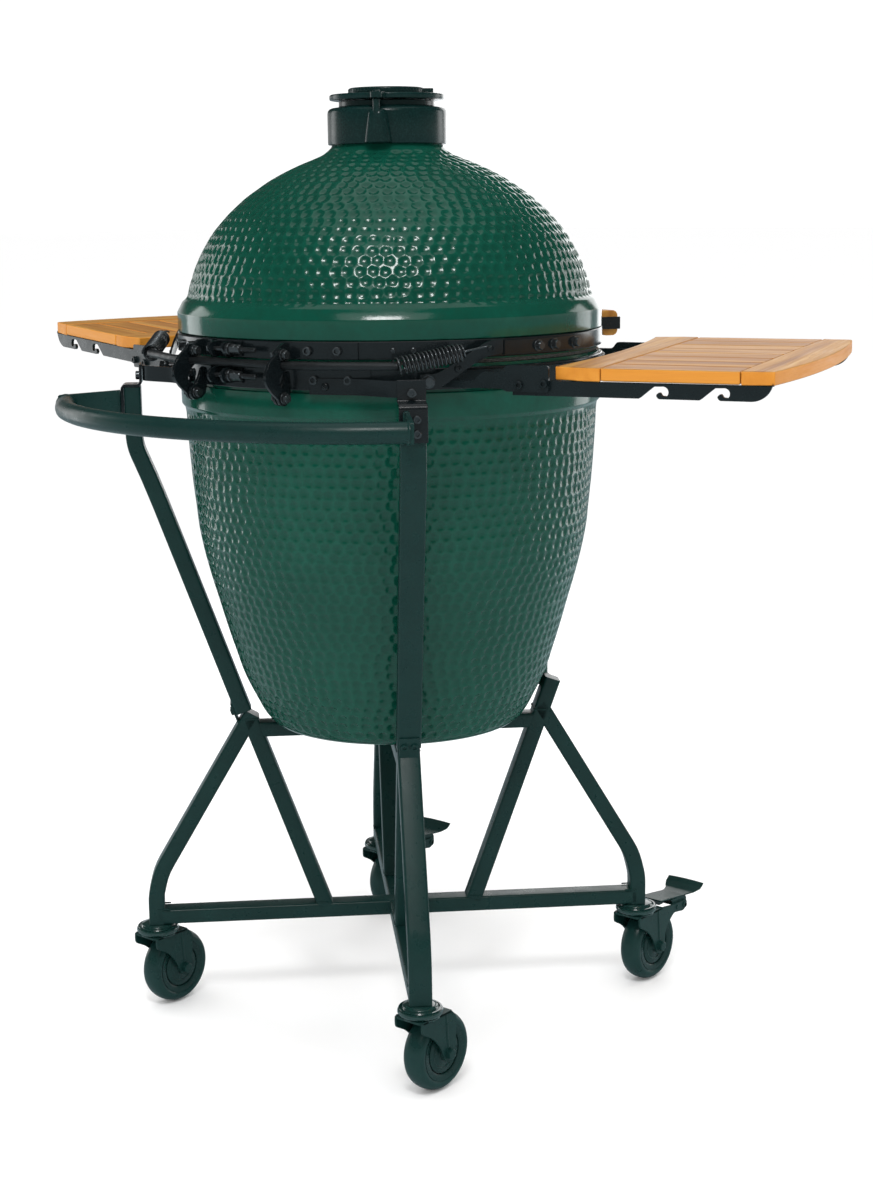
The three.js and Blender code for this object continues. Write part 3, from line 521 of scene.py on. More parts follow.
def button(p, d, r=5.5, h=3.4):
    rs = [(0, 0), (r, 0), (r, h * 0.25), (r * 0.93, h * 0.6), (r * 0.74, h * 0.88), (r * 0.5, h), (r * 0.36, h, "h"), (r * 0.36, h * 0.35, "h"), (0, h * 0.35)]
    return at(rings(rs), p, d)


def caphead(p, d, r=5.5, h=6.0):
    rs = [(0, 0), (r, 0), (r, h - 0.7), (r - 0.7, h), (r * 0.52, h, "h"), (r * 0.52, h * 0.45, "h"), (0, h * 0.45)]
    return at(rings(rs), p, d)


def emit(name, parts, mat, body, rep=(), bevel=0.0, seg=2, sharp=38, attrs=None, stand=True, ride=True):
    if isinstance(parts, tuple):
        parts = [parts]
    V, F, off = [], [], 0
    for v, f in parts:
        V.append(np.asarray(v, float))
        F += [[i + off for i in q] for q in f]
        off += len(v)
    V = np.concatenate(V) / 1000.0 + np.array([AX, AY, 0.0])
    me = bpy.data.meshes.new(name)
    me.from_pydata(V.tolist(), [], F)
    me.validate()
    bm = bmesh.new()
    bm.from_mesh(me)
    bmesh.ops.recalc_face_normals(bm, faces=bm.faces)
    bm.to_mesh(me)
    bm.free()
    me.shade_smooth()
    me.set_sharp_from_angle(angle=rad(sharp))
    ob = bpy.data.objects.new(name, me)
    bpy.context.scene.collection.objects.link(ob)
    me.materials.append(M[mat])
    if bevel:
        b = ob.modifiers.new("edge", "BEVEL")
        b.width = bevel / 1000.0
        b.segments = seg
        b.limit_method = "ANGLE"
        b.angle_limit = rad(32)
        b.harden_normals = True
        b.use_clamp_overlap = True
    if ride:
        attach(ob, body)
    if rep:
        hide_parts(*rep)
    return ob


# --------------------------------------------------------------- ceramic skins
def smooth01(x):
    x = np.clip(x, 0, 1)
    return x * x * (3 - 2 * x)


def catmull(P, n):
    P = np.array(P, float)
    Q = np.vstack([2 * P[0] - P[1], P, 2 * P[-1] - P[-2]])
    out = []
    for i in range(1, len(Q) - 2):
        p0, p1, p2, p3 = Q[i - 1], Q[i], Q[i + 1], Q[i + 2]
        for t in np.linspace(0, 1, n, endpoint=False):
            out.append(0.5 * ((2 * p1) + (-p0 + p2) * t + (2 * p0 - 5 * p1 + 4 * p2 - p3) * t * t + (-p0 + 3 * p1 - 3 * p2 + p3) * t ** 3))
    out.append(Q[-2])
    return np.array(out)


def resample(P, step, keep=()):
    P = np.array(P, float)
    s = np.concatenate([[0], np.cumsum(np.linalg.norm(np.diff(P, axis=0), axis=1))])
    n = max(2, int(round(s[-1] / step)))
    t = np.linspace(0, s[-1], n + 1)
    return np.column_stack([np.interp(t, s, P[:, k]) for k in range(P.shape[1])])


PITCH, DENT, DENT_R = 15.3, 1.75, 7.1


def dents(theta, s, r, seed):
    """depth share 0..1 of a hammered pattern of rows of dents; s is the length along the profile"""
    row_h = PITCH * 0.855
    k0 = np.floor(s / row_h).astype(int)
    best = np.full(theta.shape, 1e9)
    rr = np.random.RandomState(seed)
    nrow = int(s.max() / row_h) + 6
    phase = rr.uniform(0, 1, nrow)
    jit = rr.uniform(-0.10, 0.10, (nrow, 256, 2))
    rowr = np.interp((np.arange(nrow) - 2 + 0.5) * row_h, s[:, 0], r[:, 0])
    cnt = np.maximum(6, np.round(2 * math.pi * rowr / PITCH)).astype(int)
    for dk in (-1, 0, 1):
        k = np.clip(k0 + dk + 2, 0, nrow - 1)
        n = cnt[k]
        u = theta / (2 * math.pi) * n + phase[k] + 0.5 * (k % 2)
        j0 = np.floor(u).astype(int)
        for dj in (-1, 0, 1):
            j = j0 + dj
            jm = np.mod(j, n) % 256
            cu = j + 0.5 + jit[k, jm, 0]
            cs = (k - 2 + 0.5 + jit[k, jm, 1] * 0.9) * row_h
            d = np.hypot((u - cu) / n * 2 * math.pi * r, s - cs)
            best = np.minimum(best, d)
    # round craters with flat lands between them and a soft lip
    q = np.clip(best / DENT_R, 0, 1.2)
    bowl = np.clip(1 - q * q, 0, 1)
    return np.where(bowl < 0.16, bowl * bowl / 0.32, bowl - 0.08) / 0.92


def skin(name, outer, inner, cols, zone, seed, body, rep, window=None, pad=None, bottom=False, step=2.4):
    """outer and inner walls of a turned shell, the outer one dented between two heights of `zone`"""
    o = outer
    s = np.concatenate([[0], np.cumsum(np.linalg.norm(np.diff(o, axis=0), axis=1))])
    th = np.linspace(0, 2 * math.pi, cols, endpoint=False)
    TH, S = np.meshgrid(th, s)
    R0 = np.repeat(o[:, 0:1], cols, 1)
    Z0 = np.repeat(o[:, 1:2], cols, 1)
    dent_depth = dents(TH, S, np.maximum(R0, 1.0), seed)
    fade = smooth01((Z0 - zone[0]) / 7.0) * smooth01((zone[1] - Z0) / 7.0)
    if len(zone) > 2:
        fade = fade * smooth01((R0 - zone[2]) / 5.0)
    if pad is not None:
        dz = np.abs(Z0 - (pad[2] + pad[3]) / 2) - (pad[3] - pad[2]) / 2
        da = (np.abs((np.degrees(TH) - pad[0] + 180) % 360 - 180) - pad[1]) * math.pi / 180 * pad[4]
        inside = smooth01(1 - np.maximum(dz, da) / 6.0)
        fade = fade * (1 - smooth01(1 - np.maximum(dz, da) / 14.0))
    dent_depth = dent_depth * fade
    # outward direction of the profile
    g = np.gradient(o, axis=0)
    nr = np.column_stack([g[:, 1], -g[:, 0]])
    nr /= np.linalg.norm(nr, axis=1)[:, None] + 1e-12
    # slow unevenness of the hand-cast body, always inwards
    wob = 0.35 * (1 + np.sin(TH * 3 + S * 0.013) * np.sin(TH * 5 - S * 0.021)) * np.clip(fade, 0, 1)
    D = DENT * dent_depth + wob
    R = R0 - nr[:, 0:1] * D
    Z = Z0 - nr[:, 1:2] * D
    if pad is not None:
        target = np.full_like(R, pad[4])
        R = np.where(R < target, R + (target - R) * inside, R)
    V = [np.column_stack([(R * np.cos(TH)).ravel(), (R * np.sin(TH)).ravel(), Z.ravel()])]
    no, nc = o.shape[0], cols
    i = inner
    ni = i.shape[0]
    THi = np.repeat(th[None, :], ni, 0)
    V.append(np.column_stack([(i[:, 0:1] * np.cos(THi)).ravel(), (i[:, 0:1] * np.sin(THi)).ravel(), np.repeat(i[:, 1:2], nc, 1).ravel()]))
    off = no * nc
    F = []
    deg = np.degrees(th)

    def hole_cols():
        if window is None:
            return np.zeros(nc, bool)
        mid = deg + 180.0 / nc
        return np.abs((mid - window[0] + 180) % 360 - 180) < window[1]
    hc = hole_cols()

    def grid(nrow, prof, base, flip):
        jj = np.arange(nc)
        nx = (jj + 1) % nc
        for k in range(nrow - 1):
            zc = (prof[k, 1] + prof[k + 1, 1]) / 2
            skip = hc & (window is not None and window[2] < zc < window[3] and prof[k, 0] > 100)
            a, b, c, d = base + k * nc + jj, base + k * nc + nx, base + (k + 1) * nc + nx, base + (k + 1) * nc + jj
            q = np.column_stack([a, b, c, d] if not flip else [d, c, b, a])
            F.extend(q[~skip].tolist())
    grid(no, o, 0, False)
    grid(ni, i, off, True)
    # rim between the two walls at the top
    jj = np.arange(nc)
    nx = (jj + 1) % nc
    ends = [(no - 1, ni - 1)]
    if not bottom:
        ends.append((0, 0))
    for n_, (ko, ki) in enumerate(ends):
        a, b, c, d = ko * nc + jj, ko * nc + nx, off + ki * nc + nx, off + ki * nc + jj
        F.extend(np.column_stack([a, b, c, d] if n_ == 0 else [d, c, b, a]).tolist())
    if bottom:
        F.append([int(v) for v in jj[::-1]])
        F.append([int(off + v) for v in jj])
    if window is not None:
        def rows(prof):
            k = [q for q in range(len(prof) - 1) if window[2] < (prof[q, 1] + prof[q + 1, 1]) / 2 < window[3] and prof[q, 0] > 100]
            return k[0], k[-1] + 1
        o0, o1 = rows(o)
        i0, i1 = rows(i)
        cj = [int(v) for v in np.nonzero(hc)[0]]
        for v in cj:
            w = (v + 1) % nc
            F.append([o0 * nc + w, o0 * nc + v, off + i0 * nc + v, off + i0 * nc + w])
            F.append([o1 * nc + v, o1 * nc + w, off + i1 * nc + w, off + i1 * nc + v])
        start = [v for v in cj if (v - 1) % nc not in cj][0]
        end = ([v for v in cj if (v + 1) % nc not in cj][0] + 1) % nc
        for c_, fl in ((start, False), (end, True)):
            po = [k * nc + c_ for k in range(o0, o1 + 1)]
            pi = [off + k * nc + c_ for k in range(i0, i1 + 1)]
            q = po + pi[::-1]
            F.append(q if not fl else q[::-1])
    V = np.concatenate(V) / 1000.0 + np.array([AX, AY, 0])
    me = bpy.data.meshes.new(name)
    me.from_pydata(V.tolist(), [], F)
    me.validate()
    bm = bmesh.new()
    bm.from_mesh(me)
    bmesh.ops.recalc_face_normals(bm, faces=bm.faces)
    bm.to_mesh(me)
    bm.free()
    me.shade_smooth()
    me.set_sharp_from_angle(angle=rad(50))
    # the dent depth goes to the glaze as painted shade in the hollows and painted highlight on the ridges; smooth zones
    # get 0.13 and the inner wall 0.3, a little painted shade and no highlight
    full = np.zeros(len(me.vertices), np.float32)
    full[: no * nc] = (dent_depth + 0.13 * (1 - fade)).ravel()
    full[no * nc:] = 0.3
    me.attributes.new("dent_depth", "FLOAT", "POINT").data.foreach_set("value", full)
    me.materials.append(M["glaze"])
    ob = bpy.data.objects.new(name, me)
    bpy.context.scene.collection.objects.link(ob)
    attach(ob, body)
    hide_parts(*rep)
    return ob


STEP = 1.75
COLS = 940
body_curve = catmull([(148, 390.3), (160, 393.6), (172, 404.5), (182, 422), (198.5, 456.9), (209.1, 489.6), (219.1, 522.1), (228.3, 554.4),
                      (237.5, 586.5), (245.4, 618.4), (251.3, 650), (254.5, 681.5), (257.8, 712.7), (260.4, 743.8), (262.4, 775), (263.4, 804)], 8)
body_curve = resample(body_curve, STEP)
flange = fillet([(263.4, 804), (264.0, 808.5), (267.9, 813), (268.5, 842.3), (266.0, 842.6), (266.0, 874.5)], [2.5, 3.0, 1.2, 0.6], 20)
outer = np.vstack([body_curve, np.array(flange[1:])])
inner = np.array([(150, 418), (163, 432), (170, 447), (180, 470), (184, 481), (198, 530), (214, 590), (226, 660), (233, 740), (240, 874.5)], float)


def insert_z(prof, zs):
    prof = [tuple(p) for p in prof]
    for z in zs:
        for k in range(len(prof) - 1):
            if prof[k][1] < z < prof[k + 1][1] and abs(prof[k][1] - z) > 1e-6:
                t = (z - prof[k][1]) / (prof[k + 1][1] - prof[k][1])
                prof.insert(k + 1, (prof[k][0] + t * (prof[k + 1][0] - prof[k][0]), z))
                break
    return np.array(prof, float)


outer = insert_z(outer, (432.0, 474.0))
inner = insert_z(inner, (432.5, 474.0))
skin("egg_base", outer, inner, COLS, (398.0, 806.0), 11, "stand", ["base_shell"], window=(270, 15.0, 432.2, 474.0), pad=(270, 38.5, 424.5, 482, 206.9), bottom=True)

crown = catmull([(263.5, 939.0), (257.5, 945.5), (254.0, 958), (250.6, 968.2), (247.2, 978.1), (242.8, 988.1), (238, 998), (232.4, 1007.9), (226.4, 1017.9),
                 (219.4, 1027.7), (211, 1037.7), (202, 1047.5), (191.4, 1057.4), (180, 1067.3), (166, 1077.2), (151, 1087.1), (133, 1097), (111, 1107),
                 (97, 1112.5), (83, 1118.4), (75.2, 1123.5)], 8)
crown = resample(crown, STEP)
low = fillet([(266.0, 879.4), (266.0, 903.0), (269.9, 903.6), (269.9, 926.8), (263.5, 939.0)], [0.8, 1.2, 4.0], 15)
top = [(71.5, 1127.0), (69.4, 1131.0), (69.0, 1138.0), (69.0, 1149.0), (68.0, 1150.0)]
outer = np.vstack([np.array(low[:-1]), crown, np.array(top)])
inner = np.array([(240, 879.4), (236, 925), (220, 974), (190, 1023), (150, 1061), (100, 1089), (50, 1106), (46, 1112), (46, 1150)], float)
skin("egg_dome", outer, inner, COLS, (941.0, 1140.0, 76.0), 23, "lid", ["dome_shell"])

# ------------------------------------------------------------ bands and gasket
for nm, z0, z1, body in (("lower_band", 846.0, 871.0, "stand"), ("upper_band", 881.5, 902.5, "lid")):
    emit("steel_" + nm, lathe([(266.5, z0 + 1), (267.3, z0), (269.6, z0), (270.4, z0 + 0.9), (270.4, z1 - 0.9), (269.6, z1), (267.3, z1), (266.5, z1 - 1), (266.5, z0 + 1)], 256), "black", body, [nm])
emit("gasket_low", lathe([(243, 874.8), (263, 874.8), (263.6, 875.8), (263, 876.8), (243, 876.8), (243, 874.8)], 192), "felt", "stand", ["lower_gasket"])
emit("gasket_up", lathe([(243, 877.1), (263, 877.1), (263.6, 878.1), (263, 879.1), (243, 879.1), (243, 877.1)], 192), "felt", "lid", ["upper_gasket"])

RBAND = 270.4

# ------------------------------------------------------------------ vent cap
CAP_AZ = 122.0


def polar_plate(radii, z0, z1, cols, windows=()):
    """a flat round plate with fan-shaped windows (r0, r1, a0, a1)"""
    V, F = [], []
    nr = len(radii)
    for z in (z0, z1):
        for r in radii:
            for j in range(cols):
                V.append((*pol(r, 360.0 * j / cols)[:2], z))
    cz = [len(V), len(V) + 1]
    V += [(0, 0, z0), (0, 0, z1)]

    def idx(l, k, j):
        return l * nr * cols + k * cols + j % cols

    def cut(k, j):
        rm, am = (radii[k] + radii[k + 1]) / 2, (360.0 * (j + 0.5) / cols)
        for r0, r1, a0, a1 in windows:
            if r0 < rm < r1 and (am - a0) % 360 < (a1 - a0):
                return True
        return False
    for k in range(nr - 1):
        for j in range(cols):
            if cut(k, j):
                continue
            F.append([idx(0, k, j + 1), idx(0, k, j), idx(0, k + 1, j), idx(0, k + 1, j + 1)])
            F.append([idx(1, k, j), idx(1, k, j + 1), idx(1, k + 1, j + 1), idx(1, k + 1, j)])
            for kk, jj, e in ((k - 1, j, 0), (k + 1, j, 1), (k, j - 1, 2), (k, j + 1, 3)):
                if kk < 0 and e == 0:
                    continue
                if e < 2 and 0 <= kk < nr - 1 and not cut(kk, jj):
                    continue
                if e >= 2 and not cut(k, jj % cols):
                    continue
                p = {0: (k, j, k, j + 1), 1: (k + 1, j + 1, k + 1, j), 2: (k + 1, j, k, j), 3: (k, j + 1, k + 1, j + 1)}[e]
                F.append([idx(0, p[0], p[1]), idx(0, p[2], p[3]), idx(1, p[2], p[3]), idx(1, p[0], p[1])])
    for j in range(cols):
        F.append([cz[0], idx(0, 0, j), idx(0, 0, j + 1)][::-1])
        F.append([cz[1], idx(1, 0, j), idx(1, 0, j + 1)])
    return np.array(V, float), F


px, py = 83 * math.cos(rad(CAP_AZ)), 83 * math.sin(rad(CAP_AZ))
ringp = [(69.7, 1130.6), (73.8, 1130.6), (74.6, 1131.4), (74.9, 1134.0), (74.9, 1169.0), (74.3, 1171.8), (72.4, 1174.2), (69.0, 1175.6),
         (61.0, 1176.6), (60.4, 1177.4), (60.2, 1183.0), (59.8, 1183.4), (51.0, 1183.4), (50.2, 1182.8), (50.2, 1151.6), (69.7, 1151.6), (69.7, 1130.6)]
parts = [lathe(ringp, 160)]
# cast boss that swells out of the ring and carries a slim pivot pin
u = pol(1, CAP_AZ)
v = pol(1, CAP_AZ + 90)
secs = []
for zz, w, dr in ((1131.2, 17.0, 13.2), (1132.4, 17.6, 14.2), (1140.0, 16.6, 14.2), (1150.0, 15.0, 14.1), (1160.0, 13.4, 14.0), (1166.0, 12.4, 13.6), (1169.0, 11.4, 12.6), (1170.6, 10.2, 10.8), (1171.2, 9.0, 8.4)):
    row = []
    for t_ in np.linspace(-1, 1, 25):
        k_ = math.sqrt(max(0.0, 1 - abs(t_) ** 3.2))
        rr = math.sqrt(74.6 ** 2 - (w * t_) ** 2) - 1.2 + dr * k_ * (1.0 if abs(t_) < 1 else 0)
        q = u * rr + v * (w * t_)
        row.append((q[0], q[1], zz))
    for t_ in (1, -1):
        q = u * 68.0 + v * (w * t_)
        row.append((q[0], q[1], zz))
    secs.append(row)
Vb, Fb, nb = [q for row in secs for q in row], [], len(secs[0])
for i_ in range(len(secs) - 1):
    for k_ in range(nb):
        Fb.append([i_ * nb + k_, i_ * nb + (k_ + 1) % nb, (i_ + 1) * nb + (k_ + 1) % nb, (i_ + 1) * nb + k_])
Fb += [list(range(nb))[::-1], [(len(secs) - 1) * nb + k_ for k_ in range(nb)]]
parts.append((np.array(Vb, float), Fb))
parts.append(move(lathe([(0, 1166.0), (4.4, 1166.0), (4.4, 1182.8), (3.9, 1183.4), (0, 1183.4)], 32), t=(px, py, 0)))
emit("cap_ring", parts, "iron", "lid", ["vent_cap_ring"], bevel=0.7, seg=2, sharp=42)
disc_w = [(16, 36, 72 * k, 72 * k + 34) for k in range(5)]
parts = [polar_plate([8, 16, 26, 36, 46, 54, 60, 66, 70.2, 71.6], 1185.4, 1191.0, 180, disc_w)]
parts.append(lathe([(55, 1191.0), (55.5, 1191.8), (57, 1192.0), (70.0, 1192.0), (71.6, 1191.2), (72.0, 1190), (72.0, 1186.6), (71.2, 1185.2), (68.0, 1184.6), (55, 1184.6), (55, 1191.0)], 160))
ear = [(60, -13.5), (70, -10.5)] + [tuple(A(83, 0) + A(7.6 * math.cos(rad(t)), 7.6 * math.sin(rad(t)))) for t in range(-80, 81, 10)] + [(70, 10.5), (60, 13.5)]
parts.append(prism(ear, 1184.7, 1191.7, (0, 0, 0), u, v, (0, 0, 1)))
parts.append(move(button((0, 0, 1191.6), (0, 0, 1), 4.6, 2.4), t=(px, py, 0)))
emit("cap_disc", parts, "iron", "vent_disc", ["vent_disc"], bevel=0.6, sharp=42)
dial_w = [(17, 35, 72 * k + 37, 72 * k + 69) for k in range(5)]
parts = [polar_plate([12, 17, 26, 35, 42, 46.6, 47.6], 1193.2, 1199.0, 180, dial_w)]
parts.append(lathe([(38, 1192.7), (46.2, 1192.7), (47.8, 1194.2), (47.9, 1197.8), (47.2, 1199.4), (45.6, 1200.0), (39.0, 1200.0), (38, 1199.2), (38, 1192.7)], 160))
parts.append(lathe([(0, 1193), (12.4, 1193), (12.4, 1200.2), (11.6, 1201.2), (9.5, 1201.4), (0, 1201.4)], 64))
ta = 220.9
tabo = [(44, -10.5), (50, -9.5), (57.2, -8.0), (58.4, -6.4), (58.4, 6.4), (57.2, 8.0), (50, 9.5), (44, 10.5)]
parts.append(prism(tabo, 1193.6, 1199.0, (0, 0, 0), pol(1, ta), pol(1, ta + 90), (0, 0, 1)))
for a in range(0, 360, 6):           # fine grip notches cast round the rim
    if abs((a - ta + 180) % 360 - 180) > 14:
        parts.append(prism([(47.2, -1.0), (48.35, -0.6), (48.35, 0.6), (47.2, 1.0)], 1194.6, 1198.6, (0, 0, 0), pol(1, a), pol(1, a + 90), (0, 0, 1)))
emit("cap_dial", parts, "iron", "vent_dial", ["vent_dial"], bevel=0.5, sharp=42)

# --------------------------------------------------------------------- hinge
HY, ZL, ZU, ZR = 280.0, 838.0, 888.0, 876.2


def arc2(cx, cy, r, a0, a1, n=16):
    return [(cx + r * math.cos(rad(a0 + (a1 - a0) * i / n)), cy + r * math.sin(rad(a0 + (a1 - a0) * i / n))) for i in range(n + 1)]


def yz(outline, x0, x1):
    return prism(outline, x0, x1, (0, 0, 0), (0, 1, 0), (0, 0, 1), (1, 0, 0))


yb = math.sqrt(270.8 ** 2 - 70 ** 2)
up, lo, bolts_u, bolts_l = [], [], [], []
up.append(sector(270.8, 274.6, 57, 80, 882.4, 901.6))
up.append(sector(270.8, 274.6, 100, 123, 882.4, 901.6))
lo.append(sector(270.8, 274.6, 54, 79, 847.0, 870.0))
lo.append(sector(270.8, 274.6, 101, 126, 847.0, 870.0))
for s in (-1, 1):
    x0, x1 = (68, 72) if s > 0 else (-72, -68)
    up.append(yz([(yb, 883.5), (270, 882.2)] + arc2(HY, ZU, 6.4, -88, 62) + [(277.5, 897.5), (272.5, 900.8), (yb, 901.4)], x0, x1))
    lo.append(yz([(yb, 847.5), (264, 836), (271.5, 830.6)] + arc2(HY, ZL, 8.9, -100, 84) + [(274.5, 856), (269.5, 866.5), (yb, 869.8)], x0, x1))
    # welded heel of each lug on the band plate
    up.append(tube([(s * 67.0, yb + 3.0, 884), (s * 67.0, yb + 3.0, 900)], 1.6, 8))
    lo.append(tube([(s * 67.0, yb + 3.0, 849), (s * 67.0, yb + 3.0, 868)], 1.6, 8))
    for acc, z, bz in ((bolts_u, ZU, 0), (bolts_l, ZL, 0)):
        acc.append(tube([(s * 66.2, HY, z), (s * 83.0, HY, z)], 3.1, 16))
        acc.append(hexhead((s * 78.4, HY, z), (s, 0, 0), 10.0, 5.2, 7.2))
        acc.append(hexhead((s * 67.9, HY, z), (-s, 0, 0), 10.0, 4.6, 6.6))
# bolts of the curved plates, heads outwards
for a in (62.0, 69.5, 110.5, 118.0):
    bolts_u.append(caphead(pol(274.6, a, 892), pol(1, a), 5.2, 6.0))
for a in (59.5, 68.0, 112.0, 120.5):
    bolts_l.append(caphead(pol(274.6, a, 858.5), pol(1, a), 5.2, 6.0))
# band clamps: two folded lugs drawn together by a stud that runs along X
for z, acc, zc in ((892.0, up, bolts_u), (861.0, lo, bolts_l)):
    h = 8.4 if z > 880 else 9.0
    for x in (12, 34):
        yy = math.sqrt(270.6 ** 2 - x * x)
        if z > 880:      # cut away below, where the rod passes when the lid is up
            lug = [(yy - 1.0, 883.8), (272.0, 883.0), (276.5, 882.4), (281.0, 881.8), (284.4, 883.6), (286.4, 887.0), (288.6, 889.8), (291.0, 893.0), (290.4, 896.6), (287.6, 899.4), (284.0, 900.4), (yy - 1.0, 900.4)]
        else:
            lug = [(yy - 1.0, z - h), (284.0, z - h)] + arc2(284.0, z, h, -90, 90, 14)[1:-1] + [(284.0, z + h), (yy - 1.0, z + h)]
        acc.append(yz(lug, x - 1.7, x + 1.7))
        az0 = 90 - math.degrees(math.asin(x / 271.0))
        acc.append(prism(arc2(0, 0, 270.7, az0 - 3.2, az0 + 3.2, 6) + arc2(0, 0, 273.0, az0 + 3.2, az0 - 3.2, 6), z - h, z + h))
    zc.append(tube([(-34.5, 281.0, z), (40, 281.0, z)], 2.7, 16))
    for k in range(17):                # rolled thread on the open end
        zc.append(at(rings([(2.5, 0), (3.15, 0.35), (3.15, 0.5), (2.5, 0.85)], 18), (-34.0 + k * 1.15, 281.0, z), (1, 0, 0)))
    zc.append(at(rings([(0, 0), (7.2, 0), (7.2, 1.5), (0, 1.5)], 28), (10.2, 281.0, z), (-1, 0, 0)))
    zc.append(at(rings([(0, 0), (6.4, 0), (6.9, 0.6), (6.4, 1.6), (0, 1.6)], 28), (8.6, 281.0, z), (-1, 0, 0)))
    zc.append(hexhead((6.8, 281.0, z), (-1, 0, 0), 10.6, 8.6, 7.6))
    zc.append(hexhead((-3.4, 281.0, z), (-1, 0, 0), 10.0, 7.4, 0))
    zc.append(hexhead((35.8, 281.0, z), (1, 0, 0), 10.0, 5.4, 7.2))
emit("hinge_plates_upper", up, "black", "lid", ["hinge_upper_bracket"], bevel=0.8, seg=2)
emit("hinge_plates_lower", lo, "black", "stand", ["hinge_lower_bracket"], bevel=0.8, seg=2)
emit("hinge_bolts_upper", bolts_u, "bolt", "lid", bevel=0.0, sharp=34)
emit("hinge_bolts_lower", bolts_l, "bolt", "stand", bevel=0.0, sharp=34)


def smooth_loop(pts, k=2):
    P = [np.array(p, float) for p in pts]
    for _ in range(k):
        Q = []
        for i in range(len(P)):
            a, b = P[i], P[(i + 1) % len(P)]
            Q += [a * 0.75 + b * 0.25, a * 0.25 + b * 0.75]
        P = Q
    return [tuple(p) for p in P]


def with_holes(outline, holes, x0, x1):
    """a plate in the YZ plane with round holes, as a proper mesh"""
    bm = bmesh.new()
    loops = []
    for lp in [outline] + holes:
        vs = [bm.verts.new((0, p[0], p[1])) for p in lp]
        loops += [bm.edges.new((vs[i], vs[(i + 1) % len(vs)])) for i in range(len(vs))]
    bmesh.ops.triangle_fill(bm, use_beauty=True, use_dissolve=False, edges=loops, normal=(1, 0, 0))
    ext = bmesh.ops.extrude_face_region(bm, geom=bm.faces[:])
    for q in ext["geom"]:
        if isinstance(q, bmesh.types.BMVert):
            q.co.x += x1 - x0
    for q in bm.verts:
        q.co.x += x0
    bmesh.ops.recalc_face_normals(bm, faces=bm.faces)
    bm.verts.index_update()
    V = np.array([q.co[:] for q in bm.verts], float)
    F = [[q.index for q in f.verts] for f in bm.faces]
    bm.free()
    return V, F


link = []
for s in (-1, 1):
    out = arc2(HY, ZU, 8.3, 14, 190, 18) + catmull([A(271.6, 873), A(278, 868.4), A(284.3, 863), A(286.4, 857), A(283.8, 850.6), A(278, 847.8)], 4).tolist()
    out += arc2(HY, ZL, 9.2, 104, 352, 22) + catmull([A(300.0, 846), A(308.0, 856), A(309.0, 867.6), A(301.6, 880.6), A(291, 889)], 5).tolist()
    holes = [arc2(HY, ZU, 3.5, 0, 337.5, 15), arc2(HY, ZL, 3.5, 0, 337.5, 15), arc2(HY, ZR, 5.0, 0, 337.5, 15)]
    link.append(with_holes([tuple(q) for q in out], holes, *((74, 78) if s > 0 else (-78, -74))))
emit("hinge_links", link, "black", "links", ["hinge_link_left", "hinge_link_right"], bevel=0.7, seg=2)

rodp = fillet([(-205, 226, ZR), (-120, 268, ZR), (-82, 280, ZR), (82, 280, ZR), (120, 268, ZR), (205, 226, ZR)], [30, 30, 30, 30], 6)
parts = [tube(rodp, 4.7, 24, up=(0, 0, 1))]
for s in (-1, 1):
    e = A(s * 205, 226, ZR)
    d = A(s * 85, -42, 0)
    d /= np.linalg.norm(d)
    parts.append(at(rings([(0, 0), (4.75, 0), (4.75, 1.6), (4.1, 2.4), (0, 2.4)], 24), e - d * 0.6, d))
emit("hinge_rod", parts, "rod", "links", ["hinge_spring_rod"], bevel=0, sharp=40)

# coil springs between the rod ends and the anchor arms
for s in (-1, 1):
    a, b = A(s * 205, 226, ZR), A(s * 272, 135, 897)
    d = (b - a) / np.linalg.norm(b - a)
    L = np.linalg.norm(b - a)
    B = basis(d)
    p = []
    turns, r, wr = 16, 10.1, 1.25
    s0, s1 = 8.5, 81.0
    # wide eye at the near end, hooked over the rod's end
    for t in np.linspace(0, 1, 30):
        ang = 2.0 * math.pi * t
        q = A(0, 0, 0) + d * (-3.2 + 9.2 * t + 1.2 * math.sin(ang))
        p.append(a + q + B[:, 0] * (10.4 * math.cos(ang)) + B[:, 1] * (10.4 * math.sin(ang)))
    for t in np.linspace(0, 1, turns * 24)[1:]:
        ang = 2 * math.pi * turns * t
        rr = 10.4 + (r - 10.4) * min(1.0, t * turns)
        if t > 1 - 1.0 / turns:
            rr = r - (r - 4.2) * (t - 1 + 1.0 / turns) * turns
        p.append(a + d * (s0 - 2.5 + (s1 - s0 + 2.5) * t) + B[:, 0] * rr * math.cos(ang) + B[:, 1] * rr * math.sin(ang))
    # straight shank and a hook at the far end
    for t in np.linspace(0.15, 1, 6):
        p.append(a + d * (s1 + (L - s1 - 9.0) * t) + B[:, 0] * 4.2)
    for t in np.linspace(0.12, 0.9, 9):
        ang = math.pi * t
        p.append(a + d * (L - 9.0 + 6.5 * math.sin(ang)) + B[:, 0] * (4.2 * math.cos(ang)))
    ob = emit("coil_spring_" + ("right" if s > 0 else "left"), sweep(p, circ(1.25, 8)), "bolt", "stand",
              ["spring_right" if s > 0 else "spring_left"], sharp=60, ride=False)
    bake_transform(ob)

